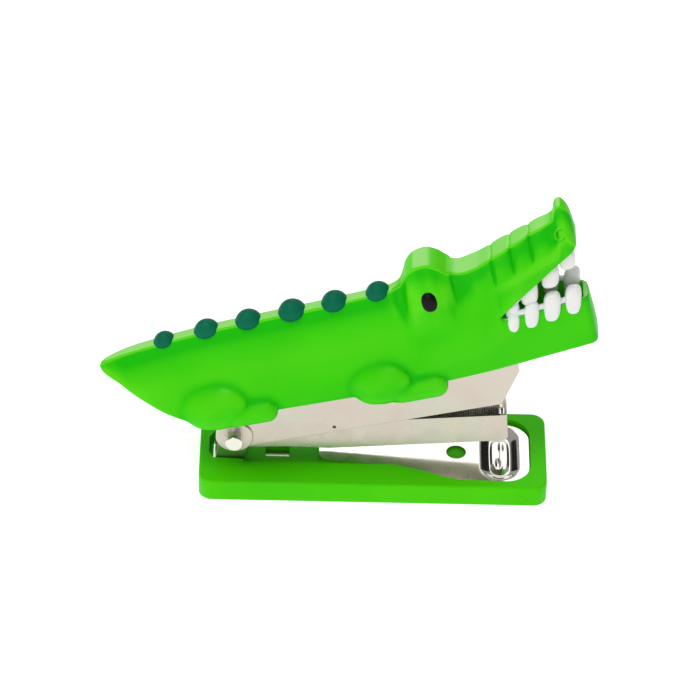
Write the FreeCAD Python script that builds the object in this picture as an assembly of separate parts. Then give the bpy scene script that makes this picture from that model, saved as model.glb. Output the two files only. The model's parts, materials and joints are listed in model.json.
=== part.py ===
import FreeCAD, Part
import math
import os

os.makedirs("parts", exist_ok=True)

# Mini stapler with an animal-shaped handle. Millimetres, +X to the nose, +Z up.
# Origin: the middle of the base's underside. Each swinging group is drawn level,
# with the hinge pin at (0, 0), and is then tilted and carried to the hinge.

# ---- base ----
base_length = 75.0
base_width = 24.6
base_height = 5.0
base_corner_radius = 3.0
base_edge_radius = 0.5
base_wall = 1.8
recess_depth = 1.5
floor_thickness = 1.5
rim_at_nose = 3.4
plate_play = 0.25
rib_thickness = 1.2

# ---- anvil plate ----
plate_thickness = 0.6
plate_reach = 39.2
plate_hole_radius = 2.15
plate_hole_back = 9.5
anvil_width = 9.1
anvil_length = 18.0
anvil_depth = 1.2
anvil_slope = 2.0
plate_corner_radius = 5.5

# ---- hinge ----
hinge_from_rear = 7.6
hinge_height = 12.9
pin_radius = 1.9
pin_reach = 9.1
running_gap = 0.05
washer_radius = 4.0
washer_thickness = 0.5
bush_length = 1.0
bracket_sheet = 0.8
ear_play = 0.25
bracket_eye_radius = 3.4
spring_wire = 0.7

# ---- magazine ----
magazine_rest_tilt = 4.9
magazine_closed_tilt = -3.6
sheet = 0.5
staple_side_room = 0.8
magazine_below = 5.25
magazine_above = 1.85
magazine_front = 58.5
ear_radius = 3.7
nose_slot = 1.1
blade_play = 0.2

# ---- rail, staples and pusher ----
rail_sheet = 0.4
rail_rear = 9.0
staple_crown = 8.4
staple_leg = 5.0
staple_wire = 0.5
strip_length = 20.0
slide_gap = 0.1
rod_radius = 0.8
rod_depth = 2.6
pusher_length = 6.0
rod_rear_web = 15.0
pusher_spring_radius = 1.55

# ---- handle channel and driver ----
handle_rest_tilt = 13.85
channel_play = 0.1
handle_below = 3.45
handle_top = 9.0
handle_front_setback = 0.7
handle_front_lean = 5.5
handle_sheet = 0.6
blade_thickness = 0.5
leaf_thickness = 0.5

# ---- moulded animal shell ----
shell_wall = 1.8
shell_underside = 7.4
shell_half_width = 9.3
flank_draft = 0.4
cavity_drop = 4.5
shell_play = 0.15
leg_outer = 11.5
leg_inner = 7.8
scute_radius = 2.45
scute_pitch = 9.44
scute_first = -9.7
scute_count = 6
jaw_corner = 63.3
snout_tip = 80.2
jaw_tip = 80.9
tooth_proud = 0.35
screw_radius = 0.9
boss_radius = 2.6
boss_first = 13.0
boss_setback = 9.0
roof_cover = 4.2

# ---- values worked out from the ones above ----
magazine_half_width = staple_crown / 2 + staple_side_room + sheet
rail_half_width = staple_crown / 2 - staple_wire - slide_gap
blade_half_width = staple_crown / 2 - slide_gap
bracket_half_width = magazine_half_width - sheet - bush_length
handle_half_width = magazine_half_width + channel_play + handle_sheet
handle_front_low = magazine_front - handle_front_setback
handle_front_high = handle_front_low + handle_front_lean
boss_places = (boss_first, magazine_front - boss_setback)
nose_end = base_length / 2
hinge_x = hinge_from_rear - nose_end
recess_floor = base_height - recess_depth
floor_underside = recess_floor - floor_thickness
plate_top = recess_floor + plate_thickness
floor_top = -magazine_below + sheet
staple_top = floor_top + staple_leg
rail_top = staple_top - staple_wire - slide_gap
rail_front = magazine_front - sheet - nose_slot - slide_gap
blade_radius = magazine_front - sheet - blade_play - blade_thickness / 2
strip_front = rail_front
strip_rear = strip_front - strip_length
anvil_x = hinge_x + blade_radius * math.cos(math.radians(magazine_closed_tilt))
plate_front = nose_end - rim_at_nose - plate_play
plate_tip = anvil_x - plate_reach


def vec(x, y, z):
    return FreeCAD.Vector(x, y, z)


def box(x0, x1, y0, y1, z0, z1):
    return Part.makeBox(x1 - x0, y1 - y0, z1 - z0, vec(x0, y0, z0))


def rod_y(x, z, radius, y0, y1):
    return Part.makeCylinder(radius, y1 - y0, vec(x, y0, z), vec(0, 1, 0))


def rod_z(x, y, radius, z0, z1):
    return Part.makeCylinder(radius, z1 - z0, vec(x, y, z0), vec(0, 0, 1))


def rod_x(x0, x1, y, z, radius):
    return Part.makeCylinder(radius, x1 - x0, vec(x0, y, z), vec(1, 0, 0))


def rod_between(start, end, radius):
    run = end.sub(start)
    return Part.makeCylinder(radius, run.Length, start, run)


def side_plate(outline, y0, y1):
    """A flat piece cut to an (x, z) outline, from y0 to y1."""
    points = [vec(x, y0, z) for x, z in outline]
    face = Part.Face(Part.makePolygon(points + points[:1]))
    return face.extrude(vec(0, y1 - y0, 0))


def floor_plate(outline, z0, z1):
    """A flat piece cut to an (x, y) outline, from z0 to z1."""
    points = [vec(x, y, z0) for x, y in outline]
    face = Part.Face(Part.makePolygon(points + points[:1]))
    return face.extrude(vec(0, 0, z1 - z0))


def mirrored(shape):
    return shape.mirror(vec(0, 0, 0), vec(0, 1, 0))


def both_sides(shape):
    return [shape, mirrored(shape)]


def joined(shapes):
    whole = shapes[0]
    for other in shapes[1:]:
        whole = whole.fuse(other)
    return whole.removeSplitter()


def upright_edges(shape):
    return [edge for edge in shape.Edges
            if isinstance(edge.Curve, Part.Line) and abs(edge.tangentAt(edge.FirstParameter).z) > 0.99]


def rounded_block(length, width, z0, z1, radius, middle=0.0):
    block = box(middle - length / 2, middle + length / 2, -width / 2, width / 2, z0, z1)
    return block.makeFillet(min(radius, length / 2.01, width / 2.01), upright_edges(block))


def at_hinge(shape, tilt):
    placed = shape.copy()
    placed.rotate(vec(0, 0, 0), vec(0, -1, 0), tilt)
    placed.translate(vec(hinge_x, 0, hinge_height))
    return placed


def keep(name, shapes):
    solids = [solid for shape in shapes for solid in shape.Solids]
    part = solids[0] if len(solids) == 1 else Part.makeCompound(solids)
    part.exportStep(f"parts/{name}.step")
    print(name, len(solids), "solid(s)", round(sum(solid.Volume for solid in solids), 2), "mm3", part.isValid())


# ---------------------------------------------------------------- base

def spade_outline(grow):
    """Half-widths of the anvil plate, tail to nose, grown outwards by the play of its recess."""
    anvil_half = anvil_length / 2
    kink = anvil_x - anvil_width / 2 - plate_hole_back + plate_hole_radius
    run = kink - plate_tip
    half = [(plate_tip - grow, 1.6 + grow), (plate_tip + 0.8 - grow, 3.1 + grow),
            (plate_tip + 0.09 * run, 3.6 + grow), (plate_tip + 0.33 * run, 3.9 + grow),
            (plate_tip + 0.54 * run, 4.8 + grow), (plate_tip + 0.82 * run, 6.9 + grow),
            (kink, anvil_half - 0.1 + grow), (kink + 3.0, anvil_half + 0.6 + grow),
            (plate_front + grow, anvil_half + 1.1 + grow)]
    return half + [(x, -y) for x, y in reversed(half)]


def spade(grow, z0, z1):
    blank = floor_plate(spade_outline(grow), z0, z1)
    corners = [edge for edge in upright_edges(blank) if edge.CenterOfMass.x > plate_front - 0.5]
    return blank.makeFillet(plate_corner_radius, corners)


def anvil_slot(grow, z0, z1):
    """A block with round ends that holds the anvil dish."""
    width = anvil_width + 2 * grow
    return rounded_block(width, anvil_length + 2 * grow, z0, z1, width / 2, anvil_x)


def anvil_dish(wall):
    """The dish pressed into the plate: its mouth, and a floor drawn in by the slope of its walls."""
    top = rounded_section(anvil_width + 2 * wall, anvil_length + 2 * wall, plate_top)
    floor = rounded_section(anvil_width - 2 * anvil_slope + 2 * wall,
                            anvil_length - 2 * anvil_slope + 2 * wall, plate_top - anvil_depth - wall)
    return Part.makeLoft([top, floor], True, True)


def rounded_section(width, length, z):
    block = rounded_block(width, length, z, z + 1.0, width / 2, anvil_x)
    lowest = min(block.Faces, key=lambda face: face.CenterOfMass.z)
    return lowest.OuterWire


bracket_rear = hinge_x - 4.4
bracket_front = hinge_x + 1.6
tongue_front = hinge_x + 13.4
tongue_slot = (hinge_x + 6.6, hinge_x + 11.8)
screw_x = (hinge_x + 4.4, hinge_x + 12.6)
bracket_foot = (floor_underside - bracket_sheet, floor_underside)
tab_x = (plate_tip + 16.0, plate_tip + 18.0)
rib_x = (tab_x[0] - 9.0, tab_x[1] + 1.6)


def plate_tab(grow):
    """A lug of the plate that goes down through the base's floor."""
    return box(tab_x[0] - grow, tab_x[1] + grow, 2.4 - grow, 2.4 + plate_thickness + grow,
               floor_underside - 0.7, recess_floor + 0.1)


def base_moulding():
    body = rounded_block(base_length, base_width, 0, base_height, base_corner_radius)
    rims = [edge for edge in body.Edges
            if abs(edge.BoundBox.ZMax - edge.BoundBox.ZMin) < 0.01 and edge.BoundBox.ZMin > base_height - 0.1]
    body = body.makeFillet(base_edge_radius, rims)
    hollow = rounded_block(base_length - 2 * base_wall, base_width - 2 * base_wall,
                           -1, floor_underside, base_corner_radius - base_wall / 2)
    for x in rib_x:
        hollow = hollow.cut(box(x, x + rib_thickness, -base_width / 2, base_width / 2, 0.3, floor_underside))
    for side in (-1, 1):
        y = side * (bracket_half_width + 2.0)
        hollow = hollow.cut(box(bracket_rear - 1, rib_x[1], y - rib_thickness / 2,
                                y + rib_thickness / 2, 0.3, floor_underside))
    body = body.cut(hollow)
    channel = box(hinge_x + 1.9, plate_tip + 15.0, -5.4, 5.4, recess_floor, base_height + 1)
    body = body.cut(channel).cut(spade(plate_play, recess_floor, base_height + 1))
    pocket_rear = 0.6 * bracket_half_width
    pocket_side = bracket_half_width + ear_play
    pocket_front = bracket_half_width + 0.6
    pocket = floor_plate([(bracket_rear - 1.2, -pocket_rear), (bracket_rear - 1.2, pocket_rear),
                          (bracket_rear - 0.2, pocket_side), (bracket_front + 1.2, pocket_front),
                          (bracket_front + 1.2, -pocket_front), (bracket_rear - 0.2, -pocket_side)],
                         recess_floor - 0.6, base_height + 1)
    ear_room = box(bracket_rear - 0.3, bracket_front + 0.3, -pocket_side, pocket_side, -1, recess_floor + 0.4)
    body = body.cut(pocket).cut(ear_room)
    body = body.cut(box(tongue_slot[0], tongue_slot[1], -1.8, 1.8, 0, recess_floor + 1))
    body = body.cut(anvil_slot(plate_thickness + 0.15, -1, recess_floor + 1))
    for tab in both_sides(plate_tab(0.1)):
        body = body.cut(tab)
    for x in screw_x:
        body = body.cut(rod_z(x, 0, 0.8, 0, recess_floor - 0.4))
    return body


def anvil_plate():
    plate = spade(0.0, recess_floor, plate_top)
    tabs = [plate_tab(0.0), mirrored(plate_tab(0.0))]
    plate = joined([plate, anvil_dish(plate_thickness)] + tabs)
    inner = anvil_dish(0.0)
    plate = plate.cut(inner).cut(rod_z(anvil_x - plate_hole_back, 0, plate_hole_radius, 0, base_height))
    return joined([plate, forming_pad()])


def forming_pad():
    """The raised die in the dish, with two curved grooves that turn the staple's legs."""
    bottom = plate_top - anvil_depth - 0.1
    pad = rounded_block(3.4, 11.0, bottom, bottom + 0.55, 1.0, anvil_x)
    for side in (-1, 1):
        groove_radius = 4.2
        centre_z = bottom + 0.3 + groove_radius
        groove = Part.makeCylinder(groove_radius, 0.9, vec(anvil_x - 0.45 + side * 0.3, side * 2.5, centre_z),
                                   vec(1, 0, 0))
        pad = pad.cut(groove)
    return pad


def hinge_bracket():
    foot = box(bracket_rear, tongue_front, -bracket_half_width, bracket_half_width, *bracket_foot)
    ear = side_plate([(bracket_rear, bracket_foot[0]), (bracket_front, bracket_foot[0]),
                      (hinge_x + bracket_eye_radius * 0.97, hinge_height - 1.0),
                      (hinge_x - bracket_eye_radius * 0.97, hinge_height - 1.0)],
                     bracket_half_width - bracket_sheet, bracket_half_width)
    eye = rod_y(hinge_x, hinge_height, bracket_eye_radius, bracket_half_width - bracket_sheet, bracket_half_width)
    bracket = joined([foot, ear, eye, mirrored(ear), mirrored(eye)])
    for x in screw_x:
        bracket = bracket.cut(rod_z(x, 0, 0.85, 0, base_height))
    return bracket.cut(rod_y(hinge_x, hinge_height, pin_radius, -base_width, base_width))


def bracket_screws():
    shapes = []
    for x in screw_x:
        head = rod_z(x, 0, 1.5, bracket_foot[0] - 0.7, bracket_foot[0])
        slot = box(x - 0.9, x + 0.9, -0.2, 0.2, bracket_foot[0] - 1, bracket_foot[0] - 0.4)
        shapes.append(joined([head, rod_z(x, 0, 0.8, bracket_foot[0], recess_floor - 0.5)]).cut(slot))
    return shapes


def pivot_pin():
    pin = rod_y(hinge_x, hinge_height, pin_radius, -pin_reach, pin_reach)
    return pin.makeChamfer(0.2, [edge for edge in pin.Edges if isinstance(edge.Curve, Part.Circle)])


washer_inner = handle_half_width + running_gap


def pivot_washers():
    disc = rod_y(hinge_x, hinge_height, washer_radius, washer_inner, washer_inner + washer_thickness)
    outer_rim = [edge for edge in disc.Edges
                 if isinstance(edge.Curve, Part.Circle) and edge.CenterOfMass.y > washer_inner + 0.1]
    disc = disc.makeFillet(0.2, outer_rim)
    return both_sides(disc.cut(rod_y(hinge_x, hinge_height, pin_radius, 0, base_width)))


def spacer_bushes():
    ring = rod_y(hinge_x, hinge_height, 3.0, bracket_half_width, magazine_half_width - sheet - running_gap)
    return both_sides(ring.cut(rod_y(hinge_x, hinge_height, pin_radius, 0, base_width)))


spring_outer = pin_radius + 0.4 + spring_wire
spring_half_width = bracket_half_width - bracket_sheet - 0.3


def lift_spring():
    """Torsion spring on the pin: one leg down to the bracket's foot, one under the rail."""
    coil = rod_y(hinge_x, hinge_height, spring_outer, -spring_half_width, spring_half_width)
    coil = coil.cut(rod_y(hinge_x, hinge_height, spring_outer - spring_wire, -base_width, base_width))
    mean = spring_outer - spring_wire / 2
    leg_y = spring_half_width - spring_wire / 2
    down_x = hinge_x - mean
    down = rod_between(vec(down_x, -leg_y, hinge_height),
                       vec(down_x + 0.6, -leg_y, bracket_foot[1] + spring_wire / 2 + 0.05), spring_wire / 2)
    forward = rod_between(vec(0, leg_y, -mean), vec(12.5, leg_y, rail_top - rail_sheet - spring_wire / 2 - 0.1),
                          spring_wire / 2)
    return joined([coil, down, at_hinge(forward, magazine_rest_tilt)])


# ---------------------------------------------------------------- magazine

def magazine_side():
    floor_rear = 20.0
    outline = [(0, ear_radius), (8.0, magazine_above), (magazine_front, magazine_above),
               (magazine_front, -magazine_below + 0.8), (magazine_front - 0.8, -magazine_below),
               (floor_rear, -magazine_below), (12.0, -ear_radius - 0.6), (0, -ear_radius)]
    plate = side_plate(outline, magazine_half_width - sheet, magazine_half_width)
    ear = rod_y(0, 0, ear_radius, magazine_half_width - sheet, magazine_half_width)
    hole = rod_y(0, 0, pin_radius + running_gap, 0, base_width)
    return joined([plate, ear]).cut(hole)


def magazine_channel():
    side = magazine_side()
    floor_end = rail_front + slide_gap
    floor = box(16.5, floor_end, -magazine_half_width, magazine_half_width, -magazine_below, floor_top)
    floor = floor.common(side_plate([(20.0, -magazine_below), (90, -magazine_below), (90, 0), (16.5, 0),
                                     (16.5, -magazine_below + 0.4)], -base_width, base_width))
    nose = box(magazine_front - sheet, magazine_front, -magazine_half_width, magazine_half_width,
               -magazine_below + 0.8, magazine_above - 0.5)
    channel = joined([side, mirrored(side), floor, nose])
    for x in rivet_x:
        for y in (-rivet_y, rivet_y):
            channel = channel.cut(rod_z(x, y, rivet_radius, -magazine_below - 1, floor_top + 1))
    return at_hinge(channel, magazine_rest_tilt)


rivet_x = (18.5, 46.0)
rivet_y = 2.3
rivet_radius = 0.5
foot_top = floor_top + rail_sheet


def staple_rail():
    """Inverted channel that the staples straddle, with two feet and two webs for the rod."""
    outer = box(rail_rear, rail_front, -rail_half_width, rail_half_width, floor_top, rail_top)
    inner_half = rail_half_width - rail_sheet
    inner = box(rail_rear - 1, rail_front + 1, -inner_half, inner_half, floor_top - 1, rail_top - rail_sheet)
    rail = outer.cut(inner)
    rear_cut = side_plate([(rail_rear - 1, floor_top - 1), (17.0, floor_top - 1), (17.0, floor_top),
                           (rail_rear + 3.0, rail_top - 2.0), (rail_rear - 1, rail_top - 2.0)],
                          -base_width, base_width)
    rail = rail.cut(rear_cut)
    for x in (rod_rear_web, rail_front - rail_sheet):
        rail = rail.fuse(box(x, x + rail_sheet, -inner_half, inner_half, -rod_depth - 1.3, rail_top - rail_sheet))
    for x in rivet_x:
        rail = rail.fuse(box(x - 1.4, x + 1.4, -inner_half, inner_half, floor_top, foot_top))
    slot_rear = rod_rear_web + rail_sheet + 0.6
    rail = rail.cut(box(slot_rear, strip_rear + 1.0, -1.3, 1.3, rail_top - 1, rail_top + 1))
    rail = rail.cut(rod_x(rod_rear_web - 1, rail_front + 1, 0, -rod_depth, rod_radius))
    for x in rivet_x:
        for y in (-rivet_y, rivet_y):
            rail = rail.cut(rod_z(x, y, rivet_radius, floor_top - 1, foot_top + 0.1))
    return at_hinge(rail.removeSplitter(), magazine_rest_tilt)


def rail_rivets():
    rivets = []
    for x in rivet_x:
        for y in (-rivet_y, rivet_y):
            shank = rod_z(x, y, rivet_radius, -magazine_below, foot_top)
            head = rod_z(x, y, 0.8, foot_top, foot_top + 0.3)
            rivets.append(at_hinge(joined([shank, head]), magazine_rest_tilt))
    return rivets


def follower_rod():
    rod = rod_x(rod_rear_web - 0.6, rail_front, 0, -rod_depth, rod_radius)
    return at_hinge(rod, magazine_rest_tilt)


def staple_strip():
    half = staple_crown / 2
    block = box(strip_rear, strip_front, -half, half, floor_top + 0.02, staple_top)
    inside = box(strip_rear - 1, strip_front + 1, -half + staple_wire, half - staple_wire, floor_top - 1,
                 staple_top - staple_wire)
    return at_hinge(block.cut(inside), magazine_rest_tilt)


pusher_front = strip_rear - 0.05
pusher_rear = pusher_front - pusher_length
tongue_gap = 0.06


def pusher():
    """Saddle over the rail, with a tongue down through the rail's slot to an eye on the rod."""
    half = staple_crown / 2
    saddle = box(pusher_rear, pusher_front, -half, half, floor_top + slide_gap, staple_top + 0.4)
    gap = box(pusher_rear - 1, pusher_front + 1, -rail_half_width - slide_gap, rail_half_width + slide_gap,
              floor_top - 1, rail_top + slide_gap)
    saddle = saddle.cut(gap)
    tongue = box(pusher_rear + 0.5, pusher_rear + 2.5, -1.1, 1.1, -rod_depth, rail_top + slide_gap + 0.1)
    eye = rod_x(pusher_rear + 0.5, pusher_rear + 2.5, 0, -rod_depth, 1.6)
    bore = rod_x(pusher_rear, pusher_front, 0, -rod_depth, rod_radius + tongue_gap)
    return at_hinge(joined([saddle, tongue, eye]).cut(bore), magazine_rest_tilt)


def pusher_spring():
    start = rod_rear_web + rail_sheet + 0.02
    end = pusher_rear + 0.5 - 0.02
    coil = rod_x(start, end, 0, -rod_depth, pusher_spring_radius)
    return at_hinge(coil.cut(rod_x(start - 1, end + 1, 0, -rod_depth, pusher_spring_radius - 0.4)),
                    magazine_rest_tilt)


# ---------------------------------------------------------------- handle

def handle_side():
    outline = [(0, ear_radius + 0.3), (4.5, handle_top), (handle_front_high - 2.0, handle_top),
               (handle_front_high, handle_top - 2.4), (handle_front_high, handle_top - 4.2),
               (handle_front_low, -handle_below), (3.0, -handle_below), (0, -ear_radius - 0.3)]
    plate = side_plate(outline, handle_half_width - handle_sheet, handle_half_width)
    ear = rod_y(0, 0, ear_radius + 0.3, handle_half_width - handle_sheet, handle_half_width)
    return joined([plate, ear]).cut(rod_y(0, 0, pin_radius + running_gap, 0, base_width))


channel_roof = handle_top - handle_sheet
spring_foot_x = pusher_rear - 8.75
leaf_rivet_x = spring_foot_x + 16.0
leaf_rivet_radius = 1.1


def handle_channel():
    side = handle_side()
    roof = box(4.5, handle_front_high - 2.0, -handle_half_width, handle_half_width, channel_roof, handle_top)
    channel = joined([side, mirrored(side), roof])
    for x in boss_places:
        channel = channel.cut(rod_z(x, 0, screw_radius + 0.15, channel_roof - 1, handle_top + 1))
    channel = channel.cut(rod_z(leaf_rivet_x, 0, leaf_rivet_radius, channel_roof - 1, handle_top + 1))
    return at_hinge(channel, handle_rest_tilt)


press_stroke = 6.0
blade_end_depth = magazine_below + 0.1
rest_gap = handle_rest_tilt - magazine_rest_tilt


def ring_sector(inner, outer, start, end, half_width):
    """Part of a ring around the hinge between two angles, in degrees above +X."""
    tube = Part.makeCylinder(outer, 2 * half_width, vec(0, -half_width, 0), vec(0, 1, 0))
    tube = tube.cut(Part.makeCylinder(inner, 2 * half_width, vec(0, -half_width, 0), vec(0, 1, 0)))
    reach = 3 * outer
    wedge = side_plate([(0, 0), (reach * math.cos(math.radians(start)), reach * math.sin(math.radians(start))),
                        (reach * math.cos(math.radians(end)), reach * math.sin(math.radians(end)))],
                       -half_width, half_width)
    return tube.common(wedge)


def driver_blade():
    """Leaf riveted under the channel's roof; its front turns down into a blade curved about the hinge."""
    tip_angle = -math.degrees(math.asin(blade_end_depth / blade_radius)) + press_stroke - rest_gap
    leaf_top = channel_roof
    top_angle = math.degrees(math.asin((leaf_top - leaf_thickness / 2) / blade_radius))
    blade = ring_sector(blade_radius - blade_thickness / 2, blade_radius + blade_thickness / 2,
                        tip_angle, top_angle, blade_half_width)
    leaf = box(leaf_rivet_x - 3.5, blade_radius - 0.6, -blade_half_width, blade_half_width,
               leaf_top - leaf_thickness, leaf_top)
    whole = joined([blade, leaf])
    whole = whole.cut(rod_z(leaf_rivet_x, 0, leaf_rivet_radius, 0, handle_top))
    return at_hinge(whole.cut(rod_z(boss_places[1], 0, 2.4, 0, handle_top)), handle_rest_tilt)


def driver_rivet():
    underside = channel_roof - 2 * leaf_thickness
    shank = rod_z(leaf_rivet_x, 0, leaf_rivet_radius, underside, handle_top)
    head = rod_z(leaf_rivet_x, 0, 1.9, underside - 0.6, underside)
    cap = rod_z(leaf_rivet_x, 0, 1.9, handle_top, handle_top + 0.5)
    return at_hinge(joined([head, shank, cap]), handle_rest_tilt)


def handle_spring():
    """Leaf under the driver leaf that runs back and down to press on the rail."""
    top = channel_roof - leaf_thickness
    foot_x = spring_foot_x
    gap = math.radians(rest_gap)
    foot_z = -foot_x * math.sin(gap) + rail_top * math.cos(gap) + 0.75
    lower = [(leaf_rivet_x + 3.0, top - leaf_thickness), (leaf_rivet_x - 2.7, top - leaf_thickness),
             (foot_x + 2.2, foot_z - leaf_thickness), (foot_x, foot_z - leaf_thickness),
             (foot_x - 1.7, foot_z + 0.6)]
    upper = [(leaf_rivet_x + 3.0, top), (leaf_rivet_x - 3.0, top), (foot_x + 2.0, foot_z), (foot_x, foot_z),
             (foot_x - 1.4, foot_z + 1.0)]
    leaf = side_plate(upper + list(reversed(lower)), -2.4, 2.4)
    return at_hinge(leaf.cut(rod_z(leaf_rivet_x, 0, leaf_rivet_radius, 0, handle_top)), handle_rest_tilt)


# ---------------------------------------------------------------- moulded shell

# Stations of the trunk, tail to jaw corner: (x, ridge height, ridge half-width, underside, half-width).
trunk = [(-24.8, 20.9, 0.5, 19.9, 0.8), (-21.5, 21.7, 0.9, 18.2, 3.2), (-17.5, 23.2, 1.1, 14.8, 5.6),
         (-12.2, 24.2, 1.2, 10.6, 7.7), (-7.0, 24.9, 1.2, shell_underside, 8.9),
         (2.7, 25.8, 1.2, shell_underside, shell_half_width), (25.0, 27.0, 1.2, shell_underside, shell_half_width),
         (40.0, 28.0, 1.3, shell_underside, shell_half_width), (43.0, 30.2, 1.6, shell_underside, shell_half_width),
         (45.0, 33.6, 1.9, shell_underside, shell_half_width), (49.0, 35.3, 2.0, shell_underside, 9.2),
         (52.0, 33.6, 2.3, shell_underside, 9.0), (54.5, 31.5, 2.8, shell_underside, 8.7),
         (57.0, 31.0, 2.9, shell_underside, 8.4), (61.0, 32.2, 2.7, shell_underside, 7.6),
         (jaw_corner, 33.3, 2.5, shell_underside, 7.0)]

# The upper jaw's stations, and the lower jaw's, whose ridge is its rim.
snout = [(jaw_corner - 2.0, 32.3, 2.7, 19.8, 6.9), (jaw_corner, 33.3, 2.5, 21.0, 6.6),
         (68.3, 35.8, 2.3, 24.6, 5.9), (72.6, 37.8, 1.9, 27.6, 5.3), (76.8, 39.4, 1.8, 30.5, 4.7),
         (snout_tip, 40.3, 1.7, 33.0, 4.2)]
jaw = [(jaw_corner - 2.0, 19.5, 6.6, shell_underside, 7.4), (jaw_corner + 4.0, 19.4, 5.8, shell_underside, 6.4),
       (jaw_corner + 12.0, 19.3, 4.3, shell_underside, 5.2), (jaw_tip, 19.6, 3.3, shell_underside + 0.2, 4.2)]


def section(station, drop=0.0, side_wall=0.0):
    """One cross-section: a ridge, flanks that spread at the draft, and upright lower sides."""
    x, ridge, ridge_half, underside, half = station
    ridge = ridge - drop
    half = max(half - side_wall, ridge_half + 0.1)
    knee = max(ridge - (half - ridge_half) / flank_draft, underside + 0.3)
    right = [(ridge_half, ridge), (half, knee), (half, underside)]
    corners = right + [(-y, z) for y, z in reversed(right)]
    points = [vec(x, y, z) for y, z in corners]
    return Part.makePolygon(points + points[:1])


def loft(stations, drop=0.0, side_wall=0.0):
    return Part.makeLoft([section(station, drop, side_wall) for station in stations], True, True)


def leg(x, z, radius_x, radius_z, foot_end, foot_low, foot_high):
    """A thigh pad with a foot that points forwards, on the side at +Y."""
    ellipse = Part.Ellipse(vec(0, 0, 0), max(radius_x, radius_z), min(radius_x, radius_z))
    face = Part.Face(Part.Wire(ellipse.toShape()))
    thigh = face.extrude(vec(0, 0, leg_outer - leg_inner))
    thigh.rotate(vec(0, 0, 0), vec(1, 0, 0), -90)
    thigh.translate(vec(x, leg_inner, z))
    foot_width = leg_outer - 0.3 - leg_inner
    foot = box(x, foot_end, leg_inner, leg_inner + foot_width, foot_low, foot_high)
    ends = [edge for edge in foot.Edges
            if abs(edge.BoundBox.YLength - foot_width) < 0.01 and edge.BoundBox.XMin > foot_end - 0.1]
    foot = foot.makeFillet((foot_high - foot_low) / 2.1, ends)
    return thigh.fuse(foot)


def ridge_at(x):
    """Height of the trunk's ridge between its stations."""
    for low, high in zip(trunk, trunk[1:]):
        if low[0] <= x <= high[0]:
            share = (x - low[0]) / (high[0] - low[0])
            return low[1] + share * (high[1] - low[1])
    return trunk[-1][1]


def scute_shapes():
    shapes = []
    for index in range(scute_count):
        x = scute_first + index * scute_pitch
        size = scute_radius * (0.86 if index == 0 else 1.0)
        shapes.append(Part.makeSphere(size, vec(x, 0, ridge_at(x) - 0.1)))
    return shapes


def eye_shapes():
    """Oval plugs in the sides of the brow."""
    brow = 48.0
    height = 26.4
    oval = Part.Ellipse(vec(0, 0, 0), 2.15, 1.7)
    face = Part.Face(Part.Wire(oval.toShape()))
    plug = face.extrude(vec(0, 0, 2.0))
    plug.rotate(vec(0, 0, 0), vec(0, 0, 1), 90)
    plug.rotate(vec(0, 0, 0), vec(1, 0, 0), -90)
    plug.translate(vec(brow, 4.1, height))
    return both_sides(plug)


def pill(x, y, low, high, radius):
    """An upright tooth with round ends."""
    shaft = rod_z(x, y, radius, low + radius, high - radius)
    return joined([shaft, Part.makeSphere(radius, vec(x, y, low + radius)),
                   Part.makeSphere(radius, vec(x, y, high - radius))])


def between(stations, x, column):
    for low, high in zip(stations, stations[1:]):
        if low[0] <= x <= high[0]:
            share = (x - low[0]) / (high[0] - low[0])
            return low[column] + share * (high[column] - low[column])
    return stations[-1][column]


# Teeth from the jaw's corner to its tip: (x, radius, lowest point, highest point).
lower_teeth = [(64.6, 1.25, 15.4, 19.2), (68.2, 1.5, 15.2, 21.4), (72.5, 1.75, 15.2, 22.6), (77.0, 1.7, 15.2, 22.7)]
upper_teeth = [(64.9, 1.25, 20.1, 24.2), (69.0, 1.5, 22.0, 27.3), (73.6, 1.6, 25.6, 30.6), (78.1, 1.5, 29.1, 33.6)]


def tooth_row(teeth, stations, half_column):
    """The teeth along one side of a jaw, just proud of its flank."""
    row = []
    for x, radius, low, high in teeth:
        y = between(stations, x, half_column) + tooth_proud - radius + 0.3
        row.append(pill(x, y, low, high, radius))
    return row


def tooth_web(teeth, stations, edge_column, half_column, thickness, rise):
    """The plate inside the jaw that carries its teeth."""
    first, last = teeth[0][0] - 0.6, teeth[-1][0] + 0.6
    wires = []
    for x in (first, last):
        edge = between(stations, x, edge_column) + rise
        half = between(stations, x, half_column) - 1.0
        points = [vec(x, -half, edge), vec(x, half, edge), vec(x, half, edge + thickness),
                  vec(x, -half, edge + thickness)]
        wires.append(Part.makePolygon(points + points[:1]))
    return Part.makeLoft(wires, True, True)


def lower_tooth_shape():
    row = tooth_row(lower_teeth, jaw, 2)
    web = tooth_web(lower_teeth, jaw, 1, 2, 1.0, -1.6)
    return joined([web] + row + [mirrored(tooth) for tooth in row])


def upper_tooth_shape():
    row = tooth_row(upper_teeth, snout, 4)
    web = tooth_web(upper_teeth, snout, 3, 4, 1.0, 0.6)
    return joined([web] + row + [mirrored(tooth) for tooth in row])


def jaw_scoop():
    """The hollow of the lower jaw, open upwards."""
    rim_wall = 1.0
    stations = [(x, ridge + 1.0, half_rim - rim_wall, 13.5, half_rim - rim_wall)
                for x, ridge, half_rim, _, _ in jaw]
    stations[0] = (jaw_corner + 1.0,) + stations[0][1:]
    stations[-1] = (jaw_tip - 1.4,) + stations[-1][1:]
    wires = []
    for x, high, half, low, _ in stations:
        points = [vec(x, -half, low), vec(x, half, low), vec(x, half, high), vec(x, -half, high)]
        wires.append(Part.makePolygon(points + points[:1]))
    return Part.makeLoft(wires, True, True)


def screw_bosses():
    tops = [min(ridge_at(x - boss_radius), ridge_at(x + boss_radius)) - roof_cover for x in boss_places]
    return [rod_z(x, 0, boss_radius, handle_top + shell_play, top) for x, top in zip(boss_places, tops)]


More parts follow.
